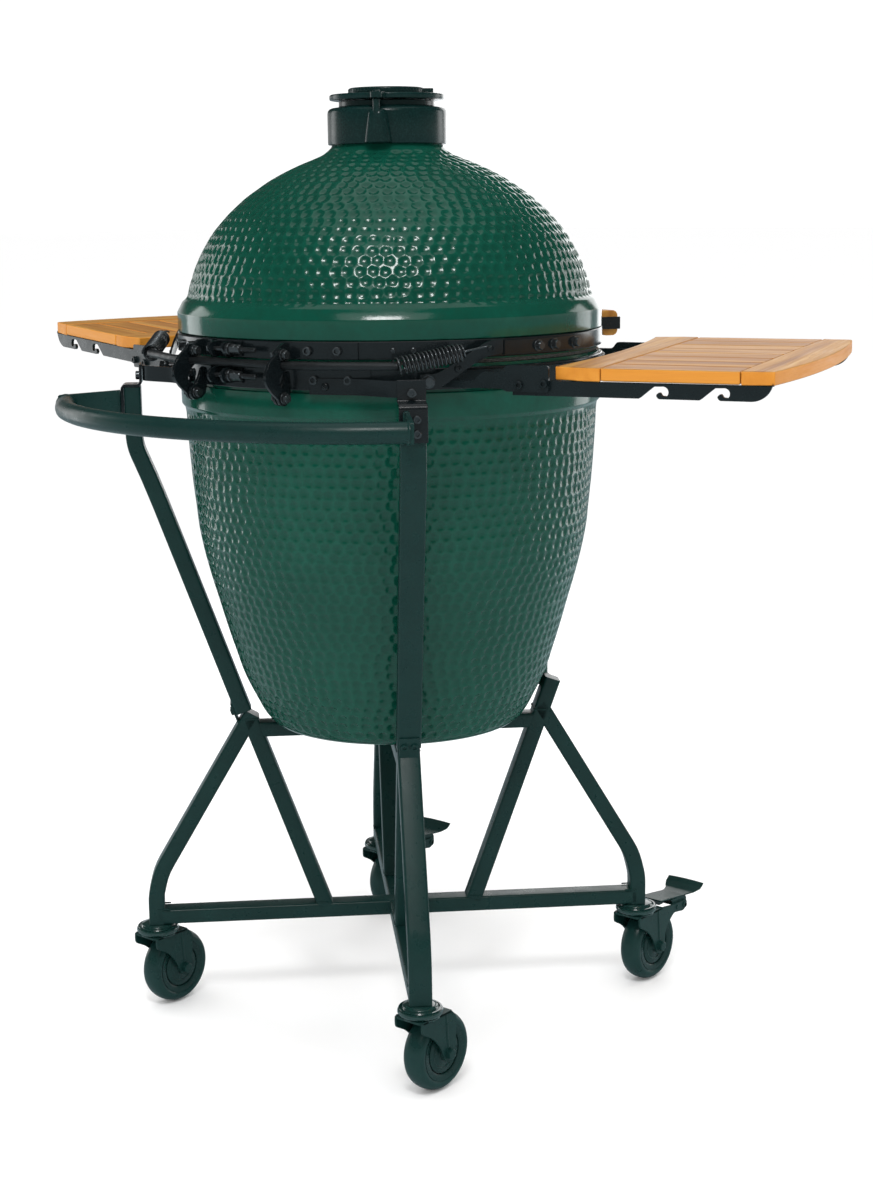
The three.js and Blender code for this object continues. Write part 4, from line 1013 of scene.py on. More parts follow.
# curved anchor arms with a slot for the spring's end
for s in (-1, 1):
    mid = catmull([(47.6, 856, 9), (51, 857, 9), (53.5, 862, 8.7), (56, 870, 8.5), (60, 882, 8), (64, 892, 8.5), (68, 895, 8)], 4)
    V, F = [], []
    for azd, z, h in mid:
        for r_, zz in ((284, z - h), (287, z - h), (287, z + h), (284, z + h)):
            q = pol(r_, 90 + azd)
            V.append((q[0], q[1], zz))
    n = len(mid)
    for i in range(n - 1):
        for k in range(4):
            F.append([4 * i + k, 4 * i + (k + 1) % 4, 4 * i + 4 + (k + 1) % 4, 4 * i + 4 + k])
    F += [[3, 2, 1, 0], [4 * n - 4, 4 * n - 3, 4 * n - 2, 4 * n - 1]]
    arm = [(np.array(V, float), F)]
    arm.append(at(lathe([(0, 0), (6.8, 0), (6.8, 13.0), (0, 13.0)], 24), pol(271.3, 139.4, 856), pol(1, 139.4)))
    arm.append(at(rings([(0, 0), (9.2, 0), (9.4, 0.4), (9.2, 1.6), (0, 1.6)], 32), pol(286.8, 139.4, 857), pol(1, 139.4)))
    ab = [hexhead(pol(288.2, 139.4, 857), pol(1, 139.4), 11.4, 6.6, 8.0)]
    arm.append(button(pol(287, 144.0 - 2.0 + 0.0, 858) if False else pol(287, 146.5, 871), pol(1, 146.5), 4.4, 2.6))
    # slot at the free end, as a raised rim
    arm.append(at(rings([(2.6, 0), (4.6, 0), (4.6, 1.0), (2.6, 1.0)], 20), pol(287, 154.8, 893), pol(1, 154.8)))
    if s > 0:
        arm = [mirx(q) for q in arm]
        ab = [mirx(q) for q in ab]
    emit("anchor_bolt_" + ("right" if s > 0 else "left"), ab, "bolt", "stand", sharp=34)
    emit("anchor_arm_" + ("right" if s > 0 else "left"), arm, "black", "stand", ["spring_arm_right" if s > 0 else "spring_arm_left"], bevel=0.6)

# clamp plates, screws and bolts along the upper band between the hinge and the tables
extra_u, extra_b = [], []
for s in (-1, 1):
    for a in (131.5, 136.5):        # small screws beside the curved plate
        q = 90 + s * (a - 90) if s < 0 else a
        q = a if s > 0 else 180 - a
        extra_b.append(button(pol(270.4, q, 892), pol(1, q), 3.6, 2.0))
    for a in (170.6, 176.3, 185.0):
        q = a if s > 0 else 180 - a
        extra_b.append(hexhead(pol(273.6, q, 892), pol(1, q), 9.4, 5.4, 7.2))
    a0, a1 = (160, 190) if s > 0 else (-10, 20)
    extra_u.append(sector(270.7, 273.6, a0, a1, 883.5, 900.5))
emit("band_clamps_upper", extra_u, "black", "lid", bevel=0.4)
emit("band_bolts_upper", extra_b, "bolt", "lid", sharp=34)

# ---------------------------------------------------- straps, joggled brackets
for s in (-1, 1):
    az = 45 if s > 0 else 135
    side = "right" if s > 0 else "left"

    def pt(r, t):
        return (r * math.cos(rad(az)) - t * math.sin(rad(az)), r * math.sin(rad(az)) + t * math.cos(rad(az)))

    def ob_(deg, r):
        return (r * math.sin(rad(deg)) * s, r * math.cos(rad(deg)))
    pl = fillet([ob_(21, 277.6), ob_(27, 277.4), ob_(33, 279.7), pt(314.9, s * 19), pt(314.9, -s * 13)], [60, 60, 26], 5)
    st = [prism(offset2(pl, 3.0), 842, 861)]
    st.append(hexhead((*pt(316.4, s * 6), 851.5), pol(-1, az), 9, 4.5, 6.8) if False else button((*ob_(25, 279.0), 851.5), A(*ob_(25, 1), 0), 4.6, 2.6))
    emit("strap_" + side, st, "black", "stand", ["hinge_strap_" + side], bevel=0.7)
    prof = fillet([(318.9, 862.5), (318.9, 835.8), (342.8, 835.8), (342.8, 793)], [5, 5], 12)
    prof = [(p[0], p[1]) for p in prof]
    br = [prism(offset2([np.array(q, float) for q in prof], 3.3), -16.5, 16.5, (0, 0, 0), pol(1, az), (0, 0, 1), pol(1, az - 90) * 1.0)]
    bb = [caphead((*pt(320.6, 0), 847.5), pol(1, az), 5.4, 5.0)]
    bb.append(caphead((*pt(344.5, -s * 3.6), 820), pol(1, az), 4.8, 5.4))
    bb.append(caphead((*pt(344.5, -s * 3.6), 803.4), pol(1, az), 4.8, 5.4))
    emit("leg_bolts_" + side, bb, "bolt", "stand", sharp=34)
    emit("leg_plate_" + side, br, "black", "stand", ["leg_bracket_" + side], bevel=0.8)

# ---------------------------------------------------------------- nest frames
SEC = rrect(21, 28, 3.2, 4)          # in the plane x across it


def bar3(path2, az, sec=SEC, start=None, rads=30.0, step=5):
    P = fillet([A(*p) for p in path2], rads, step)
    d = pol(1, az)
    P3 = [d * p[0] + A(0, 0, p[1]) for p in P]
    return sweep(P3, [(b, a) for a, b in sec], up=pol(1, az + 90))


for nm, az in (("a", 45), ("b", 135)):
    parts = []
    for k in (1, -1):
        leg = [(325 * k, 117.2), (325 * k, 156), (317 * k, 189), (190.5 * k, 402)]
        parts.append(bar3([(p[0], p[1]) for p in leg], az, rads=[70, 90]))
    parts.append(bar3([(100, 134), (193.5, 394)], az))
    parts.append(bar3([(-100, 134), (-208.5, 436)], az))
    rail = rrect(20, 28, 3.2, 4)
    zc = 127.2 if nm == "a" else 127.0
    parts.append(bar3([(-322, zc), (322, zc)], az, sec=rail))
    parts.append(bar3([(-190, 380), (190, 380)], az, sec=rrect(19.4, 27.6, 3.0, 4)))
    # end caps on the cut front stubs, small weld beads at the joints
    d, c = pol(1, az), pol(1, az + 90)
    for s0, z0 in ((103, 139), (-103, 139), (191, 395), (-191, 395), (315, 138), (-315, 138)):
        for t in (-14.0, 14.0):
            p0 = d * (s0 - 8) + c * t + A(0, 0, z0)
            p1 = d * (s0 + 8) + c * t + A(0, 0, z0 + (0 if z0 < 200 else 0))
            parts.append(tube([p0, p1], 1.1, 8))
    q = d * -208.5 + A(0, 0, 436)
    emit("nest_tubes_" + nm, parts, "powder", "stand", ["nest_frame_" + nm], bevel=0)

plates = []
for s in (-1, 1):
    az = 45 if s > 0 else 135
    side = "right" if s > 0 else "left"
    path = [(201.6, 404.8), (300, 683), (313, 718), (330, 760), (330, 833.6)]
    sec = rrect(21, 30, 3.2, 4)
    P = fillet([A(*p) for p in path], [200, 140, 70], 3)
    d = pol(1, az)
    P3 = [d * p[0] + A(0, 0, p[1]) for p in P]
    up_ = [sweep(P3, [(b, a) for a, b in sec], up=pol(1, az + 90))]
    emit("upright_tube_" + side, up_, "powder", "stand", ["upright_" + side])
    # fishplate that joins the upright to the nest, with its two bolts
    dirv = A(98.4, 278.2) / math.hypot(98.4, 278.2)
    nrm = A(dirv[1], -dirv[0])
    base = A(202.5, 407) + nrm * 10.7
    o = d * base[0] + A(0, 0, base[1])
    ex = pol(1, az + 90)
    ey = d * dirv[0] + A(0, 0, dirv[1])
    ez = d * nrm[0] + A(0, 0, nrm[1])
    plates.append(prism([(-12.5, -14), (12.5, -14), (12.5, 14), (-12.5, 14)], -0.2, 2.2, o, ex, ey, ez))
    for t in (-6.2, 6.2):
        plates.append(caphead(o + ex * t + ey * 2 + ez * 2.2, ez, 4.5, 3.4))
emit("junction_plates", plates, "powder", "stand", bevel=0.6)

# ---------------------------------------------------------------- push handle


def hp(r, a):
    return pol(r, a, 813)


half = [hp(413.4, 46.4), hp(414, 49), hp(415, 53), hp(416, 58), hp(416, 66), hp(416, 74), hp(416, 82)]
pts = half + [hp(416, 90)] + [A(-q[0], q[1], q[2]) for q in half[::-1]]
path = catmull(pts, 10)
parts = [sweep(path, circ(12.3, 36), up=(0, 0, 1))]
for az, sg in ((45, 1), (135, -1)):
    t = 8.2 * sg
    arm = [(345.3, 797.0), (421.0, 800.9)] + arc2(421.0, 803.4, 2.5, -90, 0, 4) + arc2(421.0, 822.6, 2.5, 0, 90, 4) + [(345.3, 830.0)]
    parts.append(prism(arm, -t - 2.2, -t + 2.2, (0, 0, 0), pol(1, az), (0, 0, 1), pol(1, az - 90)))
    # weld bead where the tube lands on the plate, and along the bracket
    dirt = pol(1, az + 90 * sg)
    parts.append(at(lathe([(12.0, 0), (13.6, 0), (13.5, 1.2), (12.7, 2.4), (12.0, 2.8), (12.0, 0)], 48), hp(413.3, 45 + 1.46 * sg if sg > 0 else 135 - 1.46), dirt))
    o2 = pol(1, az) * 346.2 + pol(1, az + 90) * t
    for w in (-2.6, 2.6):
        b0 = o2 + pol(1, az + 90) * w
        parts.append(tube([b0 + A(0, 0, 798.4), b0 + A(0, 0, 828.6)], 1.3, 8))
emit("handle_bow", parts, "powder", "stand", ["push_handle"], sharp=45)

# --------------------------------------------------------------- side tables
TAZ, B0, HALF, WT = 16.0, 20.0, 196.0, 16.0
A_IN, A_S1, A_S2, A_OUT = 301.0, 358.0, 519.0, 557.0
FA, FZ = 292.0, 856.0


def wood_emit(name, boards, body, rep, xf):
    """boards: list of (outline in (a, b), z0, z1, grain axis 0 or 1, tone)"""
    bm = bmesh.new()
    lay_g = bm.verts.layers.float_vector.new("gc")
    lay_t = bm.faces.layers.float.new("tone")
    lay_s = bm.faces.layers.float.new("side")
    for bi, (ol, z0, z1, ax, tone) in enumerate(boards):
        off = rng.uniform(-1, 1, 3) * A(3.0, 0.6, 0.6)
        vs = []
        for z in (z0, z1):
            row = []
            for a, b in ol:
                vv = bm.verts.new(Vector(xf(a, b, z)) / 1000.0 + Vector((AX, AY, 0)))
                g = (a, b, z) if ax == 0 else (b, a, z)
                vv[lay_g] = Vector((g[0] / 1000 + off[0], g[1] / 1000 + off[1], g[2] / 1000 + off[2]))
                row.append(vv)
            vs.append(row)
        n = len(ol)
        fs = [bm.faces.new(vs[0][::-1]), bm.faces.new(vs[1])]
        sd = [bm.faces.new([vs[0][j], vs[0][(j + 1) % n], vs[1][(j + 1) % n], vs[1][j]]) for j in range(n)]
        for f in fs:
            f[lay_t] = tone
            f[lay_s] = 0.0
        for f in sd:
            f[lay_t] = tone
            f[lay_s] = 1.0
    bmesh.ops.recalc_face_normals(bm, faces=bm.faces)
    me = bpy.data.meshes.new(name)
    bm.to_mesh(me)
    bm.free()
    me.shade_smooth()
    me.set_sharp_from_angle(angle=rad(38))
    me.materials.append(M["wood"])
    ob = bpy.data.objects.new(name, me)
    bpy.context.scene.collection.objects.link(ob)
    b = ob.modifiers.new("edge", "BEVEL")
    b.width = 0.0017
    b.segments = 3
    b.limit_method = "ANGLE"
    b.angle_limit = rad(35)
    b.harden_normals = True
    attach(ob, body)
    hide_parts(*rep)
    return ob


for side, sg, ztop, tilt, roll in (("right", 1, 888.0, 0.042, 0.0), ("left", -1, 884.5, 0.0, 0.024)):
    ca, sa = math.cos(rad(TAZ)), math.sin(rad(TAZ))

    def place(a, b, z):
        return (sg * (a * ca + b * sa), -a * sa + b * ca, z)

    def xf(a, b, z):
        x, y, w = a - FA, b, z - FZ
        y, w = y * math.cos(roll) + w * math.sin(roll), -y * math.sin(roll) + w * math.cos(roll)
        x, w = x * math.cos(tilt) - w * math.sin(tilt), x * math.sin(tilt) + w * math.cos(tilt)
        return place(x + FA, y, w + FZ)
    zt = ztop - 4
    zb = zt - WT
    b0, b1 = B0 - HALF, B0 + HALF

    def bow(a, sag, y0, y1, n=28):
        return [(a + sag * (1 - (2 * i / n - 1) ** 2), y0 + (y1 - y0) * i / n) for i in range(n + 1)]
    g = 0.5
    inner_b = [(A_S1 - g, b0 + 0.8), (A_S1 - g, b1 - 0.8), (A_S1 - 20, b1 - 0.4)] + bow(A_IN + 0.4, 14.6, b1 - 9, b0 + 9) + [(A_S1 - 20, b0 + 0.4)]
    outer_b = bow(A_OUT - 0.4, 17.0, b0 + 3.5, b1 - 3.5) + [(A_S2 + g, b1 - 0.8), (A_S2 + g, b0 + 0.8)]
    t_in, t_out = ((0.05, 0.25) if side == "left" else (0.3, 0.1))
    wood_emit(f"board_inner_{side}", [(inner_b, zb + 0.2, zt - 0.1, 1, t_in)], "table_" + side, [f"table_{side}_inner_board"], xf)
    wood_emit(f"board_outer_{side}", [(outer_b, zb + 0.2, zt - 0.1, 1, t_out)], "table_" + side, [f"table_{side}_outer_board"], xf)
    w = (b1 - b0) / 8
    slats = []
    for k in range(8):
        y0, y1 = b0 + k * w + 1.1, b0 + (k + 1) * w - 1.1
        if k == 0:
            y0 = b0 + 0.4
        if k == 7:
            y1 = b1 - 0.4
        slats.append(([(A_S1 + g, y0), (A_S2 - g, y0), (A_S2 - g, y1), (A_S1 + g, y1)], zb + 1.2, zt - 0.5, 0, float(rng.uniform(0, 0.8))))
    # glued core under the grooves
    slats.append(([(A_S1 + 1, b0 + 2), (A_S2 - 1, b0 + 2), (A_S2 - 1, b1 - 2), (A_S1 + 1, b1 - 2)], zb + 0.6, zt - 4.5, 0, 1.0))
    wood_emit(f"slats_{side}", slats, "table_" + side, [f"table_{side}_slats"], xf)
    # hooked bars
    top, bot = zb - 0.3, zb - 17.5

    def hook(a):
        return ([(a - 1.5, bot), (a + 0.8, bot + 1.4), (a + 14.4, zb - 5.2), (a + 16.6, zb - 3.7), (a + 24, zb - 3.5)]
                + arc2(a + 27.0, zb - 9.6, 6.2, 90, -50, 9) + arc2(a + 27.5, zb - 11.4, 2.6, -70, -170, 4)
                + [(a + 23.6, zb - 10.2), (a + 21.6, zb - 10.4), (a + 19.6, zb - 12.0), (a + 18.9, zb - 14), (a + 20.6, bot + 1.0), (a + 22.5, bot)])
    ol = [(252, bot)] + hook(404) + hook(474) + [(531, bot)] + arc2(531, bot + 24, 24, -82, -8, 10) + [(556, top), (252, top)]
    bars = {}
    for which, b in (("rear", b1 - 6.5), ("front", b0 + 2.5)):
        V, F = with_holes([(q[0], q[1]) for q in ol], [arc2(FA, FZ, 3.5, 0, 337.5, 15)], 0, 4)
        V2 = np.array([xf(q[1], b + q[0], q[2]) for q in V])
        prts = [(V2, F)]
        # pan-head screws up into the boards, seen from the side as small welded tabs
        for a in (330, 538):
            prts.append((np.array([xf(*q) for q in boxm(a - 9, a + 9, b - 9 if which == "rear" else b + 4, b if which == "rear" else b + 13, top - 2.4, top)[0]]), boxm(0, 1, 0, 1, 0, 1)[1]))
        emit(f"table_bar_{which}_{side}", prts, "bar", "table_" + side, [f"table_{side}_bar_{which}"], bevel=0.7)
    # fixed bracket on the lower band
    a0, a1 = -40, 52
    sect = sector(271.0, 274.0, a0, a1, 849.5, 867.6)
    V = move(sect, rotz(-TAZ))
    if sg < 0:
        V = mirx(move(sect, rotz(-TAZ)))
    prts = [V]
    for b, tag in ((b1 - 1.5, "r"), (b0 - 3.3, "f")):
        ain = math.sqrt(max(1, 271.2 ** 2 - (b + 2) ** 2))
        o = fillet([A(ain + 1, 849.5), A(240, 849.2), A(246, 846.2), A(297.4, 846.2), A(297.4, 876.2), A(246, 876.2), A(240, 867.8), A(216, 867.8), A(206, 857.4), A(ain + 1, 857.4)], [6, 6, 3, 3, 6, 6, 6, 4], 15)
        V, F = with_holes([(q[0], q[1]) for q in o], [], 0, 4)
        V2 = np.array([place(q[1], b + q[0], q[2]) for q in V])
        prts.append((V2, F))
        sgn = 1 if tag == "r" else -1
        fb = b + 4 if tag == "r" else b
        for a_, z_ in ((FA, FZ), (262, 854)):
            bl = caphead((0, 0, 0), (0, sgn, 0), 4.6, 4.2)
            prts.append((np.array([place(a_ + q[0], fb + q[1], z_ + q[2]) for q in bl[0]]), bl[1]))
        tb = tube([(0, 0, 0), (0, -sgn * 9.5, 0)], 2.9, 14)
        prts.append((np.array([place(FA + q[0], fb + q[1], FZ + q[2]) for q in tb[0]]), tb[1]))
    for az_ in (-32, -8, 16, 40):
        p_, d_ = pol(274.0, az_ - TAZ, 858.5), pol(1, az_ - TAZ)
        if sg < 0:
            p_, d_ = p_ * A(-1, 1, 1), d_ * A(-1, 1, 1)
        if abs(az_) > 20:
            prts.append(hexhead(p_, d_, 8.6, 4.6, 6.4))
        else:
            prts.append(button(p_, d_, 4.4, 2.6))
    emit(f"table_mount_{side}", prts, "bar", "stand", [f"table_{side}_bracket"], bevel=0.6)

# ------------------------------------------------------------------- casters
S = 325 / math.sqrt(2)
for name, sx, sy in (("rear_right", 1, 1), ("rear_left", -1, 1), ("front_right", 1, -1), ("front_left", -1, -1)):
    o = A(sx * S, sy * S, 0)
    front = sy < 0
    wy, wz = -28.0, 49.0
    top = [(0, 104.5), (25.6, 104.5), (27.2, 105.6), (27.9, 107.4), (27.9, 109.2), (27.2, 111.0), (25.0, 112.2), (22.4, 112.6), (21.8, 113.2), (21.6, 114.8),
           (20.8, 115.6), (17, 116.2), (16, 116.5), (0, 116.5)]
    crown_ = [move(lathe(top, 96), t=o), move(lathe([(20.5, 100.6), (23.4, 100.6), (24.6, 101.6), (24.6, 103.2), (23.6, 104.2), (20.5, 104.2), (20.5, 100.6)], 72), t=o)]
    # bearing seal ring
    crown_.append(move(lathe([(24, 112.0), (26, 112.1), (26.4, 112.7), (26, 113.2), (24, 113.3), (24, 112.0)], 96), t=o))
    emit("crown_" + name, crown_, "gloss", "fork_" + name, sharp=40)
    parts = []
    # pressed fork: crown and two cheeks from one folded sheet
    n = 15
    sheet = []
    for s in (-1, 1):
        lead = [A(*q) for q in catmull([A(22, 102.5), A(22.4, 95), A(20.8, 88.6), A(14, 84.4), A(5, 79.2), A(-3.5, 71.5), A(-10, 62.5), A(-14.4, 54), A(wy + 10.6, wz - 2.0)], 5)]
        trail = fillet([A(wy - 10.3, wz - 2), A(wy - 12.5, 66), A(-42.5, 93), A(-33, 102.5)], [60, 12], 8)
        if front:
            trail = fillet([A(wy - 9.5, wz - 2), A(wy - 14, 72), A(-62, 87.5), A(-84, 84.2), A(-94, 88.5), A(-94, 98), A(-60, 99), A(-34, 102.5)], [26, 10, 7, 5, 5, 8, 8], 8)
        bott = arc2(wy, wz, 10.5, -15, -165, 10)
        ol = [(q[0], q[1]) for q in lead] + bott + [(q[0], q[1]) for q in trail]
        x0, x1 = (19.2, 21.8) if s > 0 else (-21.8, -19.2)
        parts.append(move(with_holes(ol, [], x0, x1), t=o))
    parts.append(move(prism([(-21.8, -33), (21.8, -33), (21.8, 20), (16, 24), (-16, 24), (-21.8, 20)], 100.6, 103.4), t=o))
    for s in (-1, 1):       # pressed crease down the cheek to the axle
        parts.append(move(tube([(s * 21.0, -22.5, 101.0), (s * 21.2, -23.5, 86), (s * 21.3, -24.5, 70), (s * 21.2, -26.0, 57.5)], 1.9, 14), t=o))
    for s in (-1, 1):       # soft fold along the crown's edge
        parts.append(move(tube([(s * 20.2, -33, 101.9), (s * 20.2, 20, 101.9)], 1.6, 10), t=o))
    # axle bolt and nut
    parts.append(move(tube([(-26.2, wy, wz), (26.2, wy, wz)], 3.8, 16), t=o))
    for s in (-1, 1):
        parts.append(move(at(rings([(0, 0), (7.6, 0), (7.6, 1.1), (6.2, 1.1, "h"), (6.2, 5.0, "h"), (5.4, 5.6), (0, 5.6)]), (s * 21.9, wy, wz), (s, 0, 0)), t=o))
    if front:
        parts.append(move(tube([(-23.4, -88, 92), (23.4, -88, 92)], 2.7, 14), t=o))
        for s in (-1, 1):
            parts.append(move(at(rings([(0, 0), (4.6, 0), (4.6, 0.8), (4.0, 1.6), (0, 1.6)]), (s * 21.8, -88, 92), (s, 0, 0)), t=o))
            parts.append(move(at(rings([(0, 0), (3.4, 0), (3.4, 0.8), (2.8, 1.4), (0, 1.4)]), (s * 21.8, -70, 93), (s, 0, 0)), t=o))
        parts.append(move(prism([(-19, -93), (19, -93), (19, -62), (-19, -62)], 97.4, 99.0), t=o))
    emit("fork_" + name, parts, "powder", "fork_" + name, ["caster_fork_" + name], bevel=0.5, sharp=40)
    # wheel: tread, side wall with a groove, hub
    tread = [(30.5, -12.6), (36.6, -13.8), (37.6, -14.9), (41.0, -15.0), (43.6, -14.2), (46.0, -11.8), (47.8, -8.2), (48.7, -4.0), (49.0, 0.0),
             (48.7, 4.0), (47.8, 8.2), (46.0, 11.8), (43.6, 14.2), (41.0, 15.0), (37.6, 14.9), (36.6, 13.8), (30.5, 12.6), (30.5, -12.6)]
    R = np.array([[0, 0, 1], [0, 1, 0], [-1, 0, 0]], float)
    wt = move(lathe(tread, 128), R, o + A(0, wy, wz))
    emit("tyre_" + name, [wt], "tyre", "wheel_" + name, ["caster_wheel_" + name], sharp=50)
    half_ = [(4.6, 17.4), (9.0, 17.4), (9.8, 16.6), (10.0, 14.6), (11.4, 13.4), (25.6, 13.1), (26.4, 12.6), (26.6, 9.6), (28.0, 9.6), (28.2, 12.9), (29.0, 13.5), (34.6, 14.2), (36.0, 14.4), (36.2, 12.5)]
    hub = [(r_, -x_) for r_, x_ in half_] + [(r_, x_) for r_, x_ in half_[::-1]] + [(4.6, -17.4)]
    hp_ = [move(lathe(hub, 96), R, o + A(0, wy, wz))]
    for s in (-1, 1):        # shallow moulded ring on the face of the hub
        hp_.append(move(lathe([(18.2, s * 12.6), (19.0, s * 13.5), (20.0, s * 13.6), (20.8, s * 12.6), (18.2, s * 12.6)], 96), R, o + A(0, wy, wz)))
    emit("hub_" + name, hp_, "hub", "wheel_" + name, sharp=40)
    if front:
        # plate from the collar out to a flared tip
        side = fillet([A(-35.5, 109.8), A(-64, 106.6), A(-92, 102.9), A(-107, 103.8), A(-118.5, 108.4), A(-125.8, 113.8)], [40, 30, 18, 16], 6)
        V, F = [], []
        ns = len(side)
        for i, q in enumerate(side):
            t_ = smooth01(np.array((-q[0] - 96) / 24.0)).item()
            hw = 16.5 + 12.0 * t_ + 0.9 * (1 - t_)
            nn = np.array(side[min(i + 1, ns - 1)]) - np.array(side[max(i - 1, 0)])
            nn = A(-nn[1], nn[0]) / np.linalg.norm(nn)
            for k, x in enumerate(np.linspace(-1, 1, 13)):
                cup = -1.5 * t_ * (1 - x * x)
                for h in (0.9, -0.9):
                    c = q + nn * (h + cup)
                    V.append((x * hw, c[0], c[1]))
        W = 26
        for i in range(ns - 1):
            for k in range(12):
                a_, b_ = i * W + 2 * k, (i + 1) * W + 2 * k
                F.append([a_, a_ + 2, b_ + 2, b_])
                F.append([a_ + 1, b_ + 1, b_ + 3, a_ + 3])
            F.append([i * W, (i + 1) * W, (i + 1) * W + 1, i * W + 1])
            F.append([i * W + 24, i * W + 25, (i + 1) * W + 25, (i + 1) * W + 24])
        for k in range(12):
            F.append([2 * k, 2 * k + 1, 2 * k + 3, 2 * k + 2])
            e = (ns - 1) * W
            F.append([e + 2 * k, e + 2 * k + 2, e + 2 * k + 3, e + 2 * k + 1])
        parts = [move((np.array(V), F), t=o)]
        ear = fillet([A(-60, 105), A(-98, 102.2), A(-99, 92), A(-92, 84.3), A(-80, 84.3), A(-66, 95)], [4, 6, 6, 8], 12)
        for s in (-1, 1):
            x0, x1 = (15.7, 17.9) if s > 0 else (-17.9, -15.7)
            parts.append(move(with_holes([(q[0], q[1]) for q in ear], [arc2(-88, 92, 3.0, 0, 337.5, 15)], x0, x1), t=o))
        emit("brake_plate_" + name, parts, "powder", "pedal_" + name, ["brake_pedal_" + name], bevel=0.4, sharp=45)

# ---------------------------------------------------- front: handle, dial, door
sec = rrect(33.5, 24.2, 7.5, 5)
path = [pol(318.5, 270 + t, 897.3) for t in np.linspace(-26.8, 26.8, 60)]
grip = sweep(path, [(b * 0 + a, b) for a, b in sec], up=(0, 0, 1))
bm_o = emit("grip_wood", [grip], "wood", "lid", ["lid_handle_grip"], bevel=1.4, seg=3, sharp=50)
me = bm_o.data
gc = np.zeros((len(me.vertices), 3), np.float32)
co = np.array([q.co for q in me.vertices])
ang = np.arctan2(co[:, 1] - AY, co[:, 0] - AX)
gc[:, 0] = ang * 0.318
gc[:, 1] = np.hypot(co[:, 0] - AX, co[:, 1] - AY)
gc[:, 2] = co[:, 2]
me.attributes.new("gc", "FLOAT_VECTOR", "POINT").data.foreach_set("vector", gc.ravel())
hb = [sector(301.7, 305.2, 242.6, 297.4, 889.4, 905.6)]
for s in (-1, 1):
    hb.append(sector(301.7, 330.2, 270 + s * 27.7 - 0.42, 270 + s * 27.7 + 0.42, 889.4, 905.6, 0.4))
    hb.append(sector(271.0, 302.5, 270 + s * 15 - 0.8, 270 + s * 15 + 0.8, 883.6, 900.6, 0.8))
    hb.append(sector(270.9, 274.0, 270 + s * 15 - 4.8, 270 + s * 15 + 4.8, 883.6, 900.6))
    for t in (-3.2, 3.2):
        hb.append(button(pol(274.0, 270 + s * 15 + t, 892), pol(1, 270 + s * 15 + t), 3.6, 2.2))
    hb.append(button(pol(301.7, 270 + s * 21, 897.5), -pol(1, 270 + s * 21), 4.2, 2.6))
    hb.append(button(pol(318, 270 + s * 28.15, 897.5), pol(1, 270 + s * 118.15 if s > 0 else 270 - 118.15), 4.0, 1.0) if False else button(pol(301.7, 270 + s * 6, 897.5), -pol(1, 270 + s * 6), 4.2, 2.6))
emit("grip_bracket", hb, "bar", "lid", ["lid_handle_bracket"], bevel=0.5)

# thermometer in a tilted frame: +Z out of the dial
tilt = 24.0
tn = A(0, -math.cos(rad(tilt)), math.sin(rad(tilt)))
to = A(0, -247.5 - 1.2, 985.5)
case = [(0, -85), (2.4, -84), (3.0, -82), (3.0, 0.8), (10.8, 0.8), (11.0, 4.2), (26.4, 4.2), (28.0, 5.4), (28.4, 7.0), (28.4, 15.2), (27.4, 16.8), (25.8, 17.4), (24.6, 16.6), (24.3, 14.2), (0, 14.2)]
emit("dial_case", [at(lathe(case, 96), to, tn)], "steel", "lid", ["thermometer"], sharp=40)
face = [at(lathe([(0, 14.3), (24.1, 14.3), (24.1, 14.9), (0, 14.9)], 64), to, tn)]
mface, ntf, bf, tcf = new_mat("dial_face", (0.72, 0.71, 0.66), 0.45)
nf = noise(ntf, tcf.outputs["Object"], 80.0, 3.0)
ntf.links.new(ramp(ntf, nf.outputs["Fac"], [(0.3, (0.66, 0.65, 0.60)), (0.7, (0.78, 0.77, 0.72))]), bf.inputs["Base Color"])
M["face"] = mface
emit("dial_face", face, "face", "lid", sharp=40)
B = basis(tn)
marks = []
for k in range(25):
    a = -135 + 270 * k / 24 + 90
    d = B[:, 0] * math.cos(rad(a)) + B[:, 1] * math.sin(rad(a))
    c = np.cross(tn, d)
    L0 = 17.5 if k % 4 == 0 else 20.0
    marks.append(prism([(L0, -0.32), (22.6, -0.32), (22.6, 0.32), (L0, 0.32)], 14.9, 15.2, to, d, c, tn))
a = 200
d = B[:, 0] * math.cos(rad(a)) + B[:, 1] * math.sin(rad(a))
c = np.cross(tn, d)
marks.append(prism([(-5, -0.9), (19, -0.25), (19, 0.25), (-5, 0.9)], 15.3, 15.8, to, d, c, tn))
marks.append(at(lathe([(0, 15.2), (2.4, 15.2), (2.2, 16.4), (0, 16.5)], 24), to, tn))
emit("dial_marks", marks, "soot", "lid", sharp=40)

# draft door: rails, perforated screen, sliding cover
A_ = 37
dp = [sector(207.9, 209.4, 270 - A_, 270 - 14, 426.2, 479.8), sector(207.9, 209.4, 270 + 14, 270 + A_, 426.2, 479.8),
      sector(207.9, 209.4, 270 - 14.2, 270 + 14.2, 426.2, 434.2), sector(207.9, 209.4, 270 - 14.2, 270 + 14.2, 471.8, 479.8)]
for z0, z1, lip in ((426.2, 427.4, 1), (478.6, 479.8, -1)):
    dp.append(sector(208.6, 217.9, 270 - A_, 270 + A_, z0, z1))
    zz = (z1, z1 + 2.0) if lip > 0 else (z0 - 2.0, z0)
    dp.append(sector(216.9, 217.9, 270 - A_, 270 + A_, *zz))
for s in (-1, 1):
    for z in (434.5, 471.5):
        dp.append(button(pol(209.3, 270 + s * 34, z), pol(1, 270 + s * 34), 3.4, 0.75))
emit("draft_frame", dp, "steel", "stand", ["draft_door_frame"], bevel=0.3)
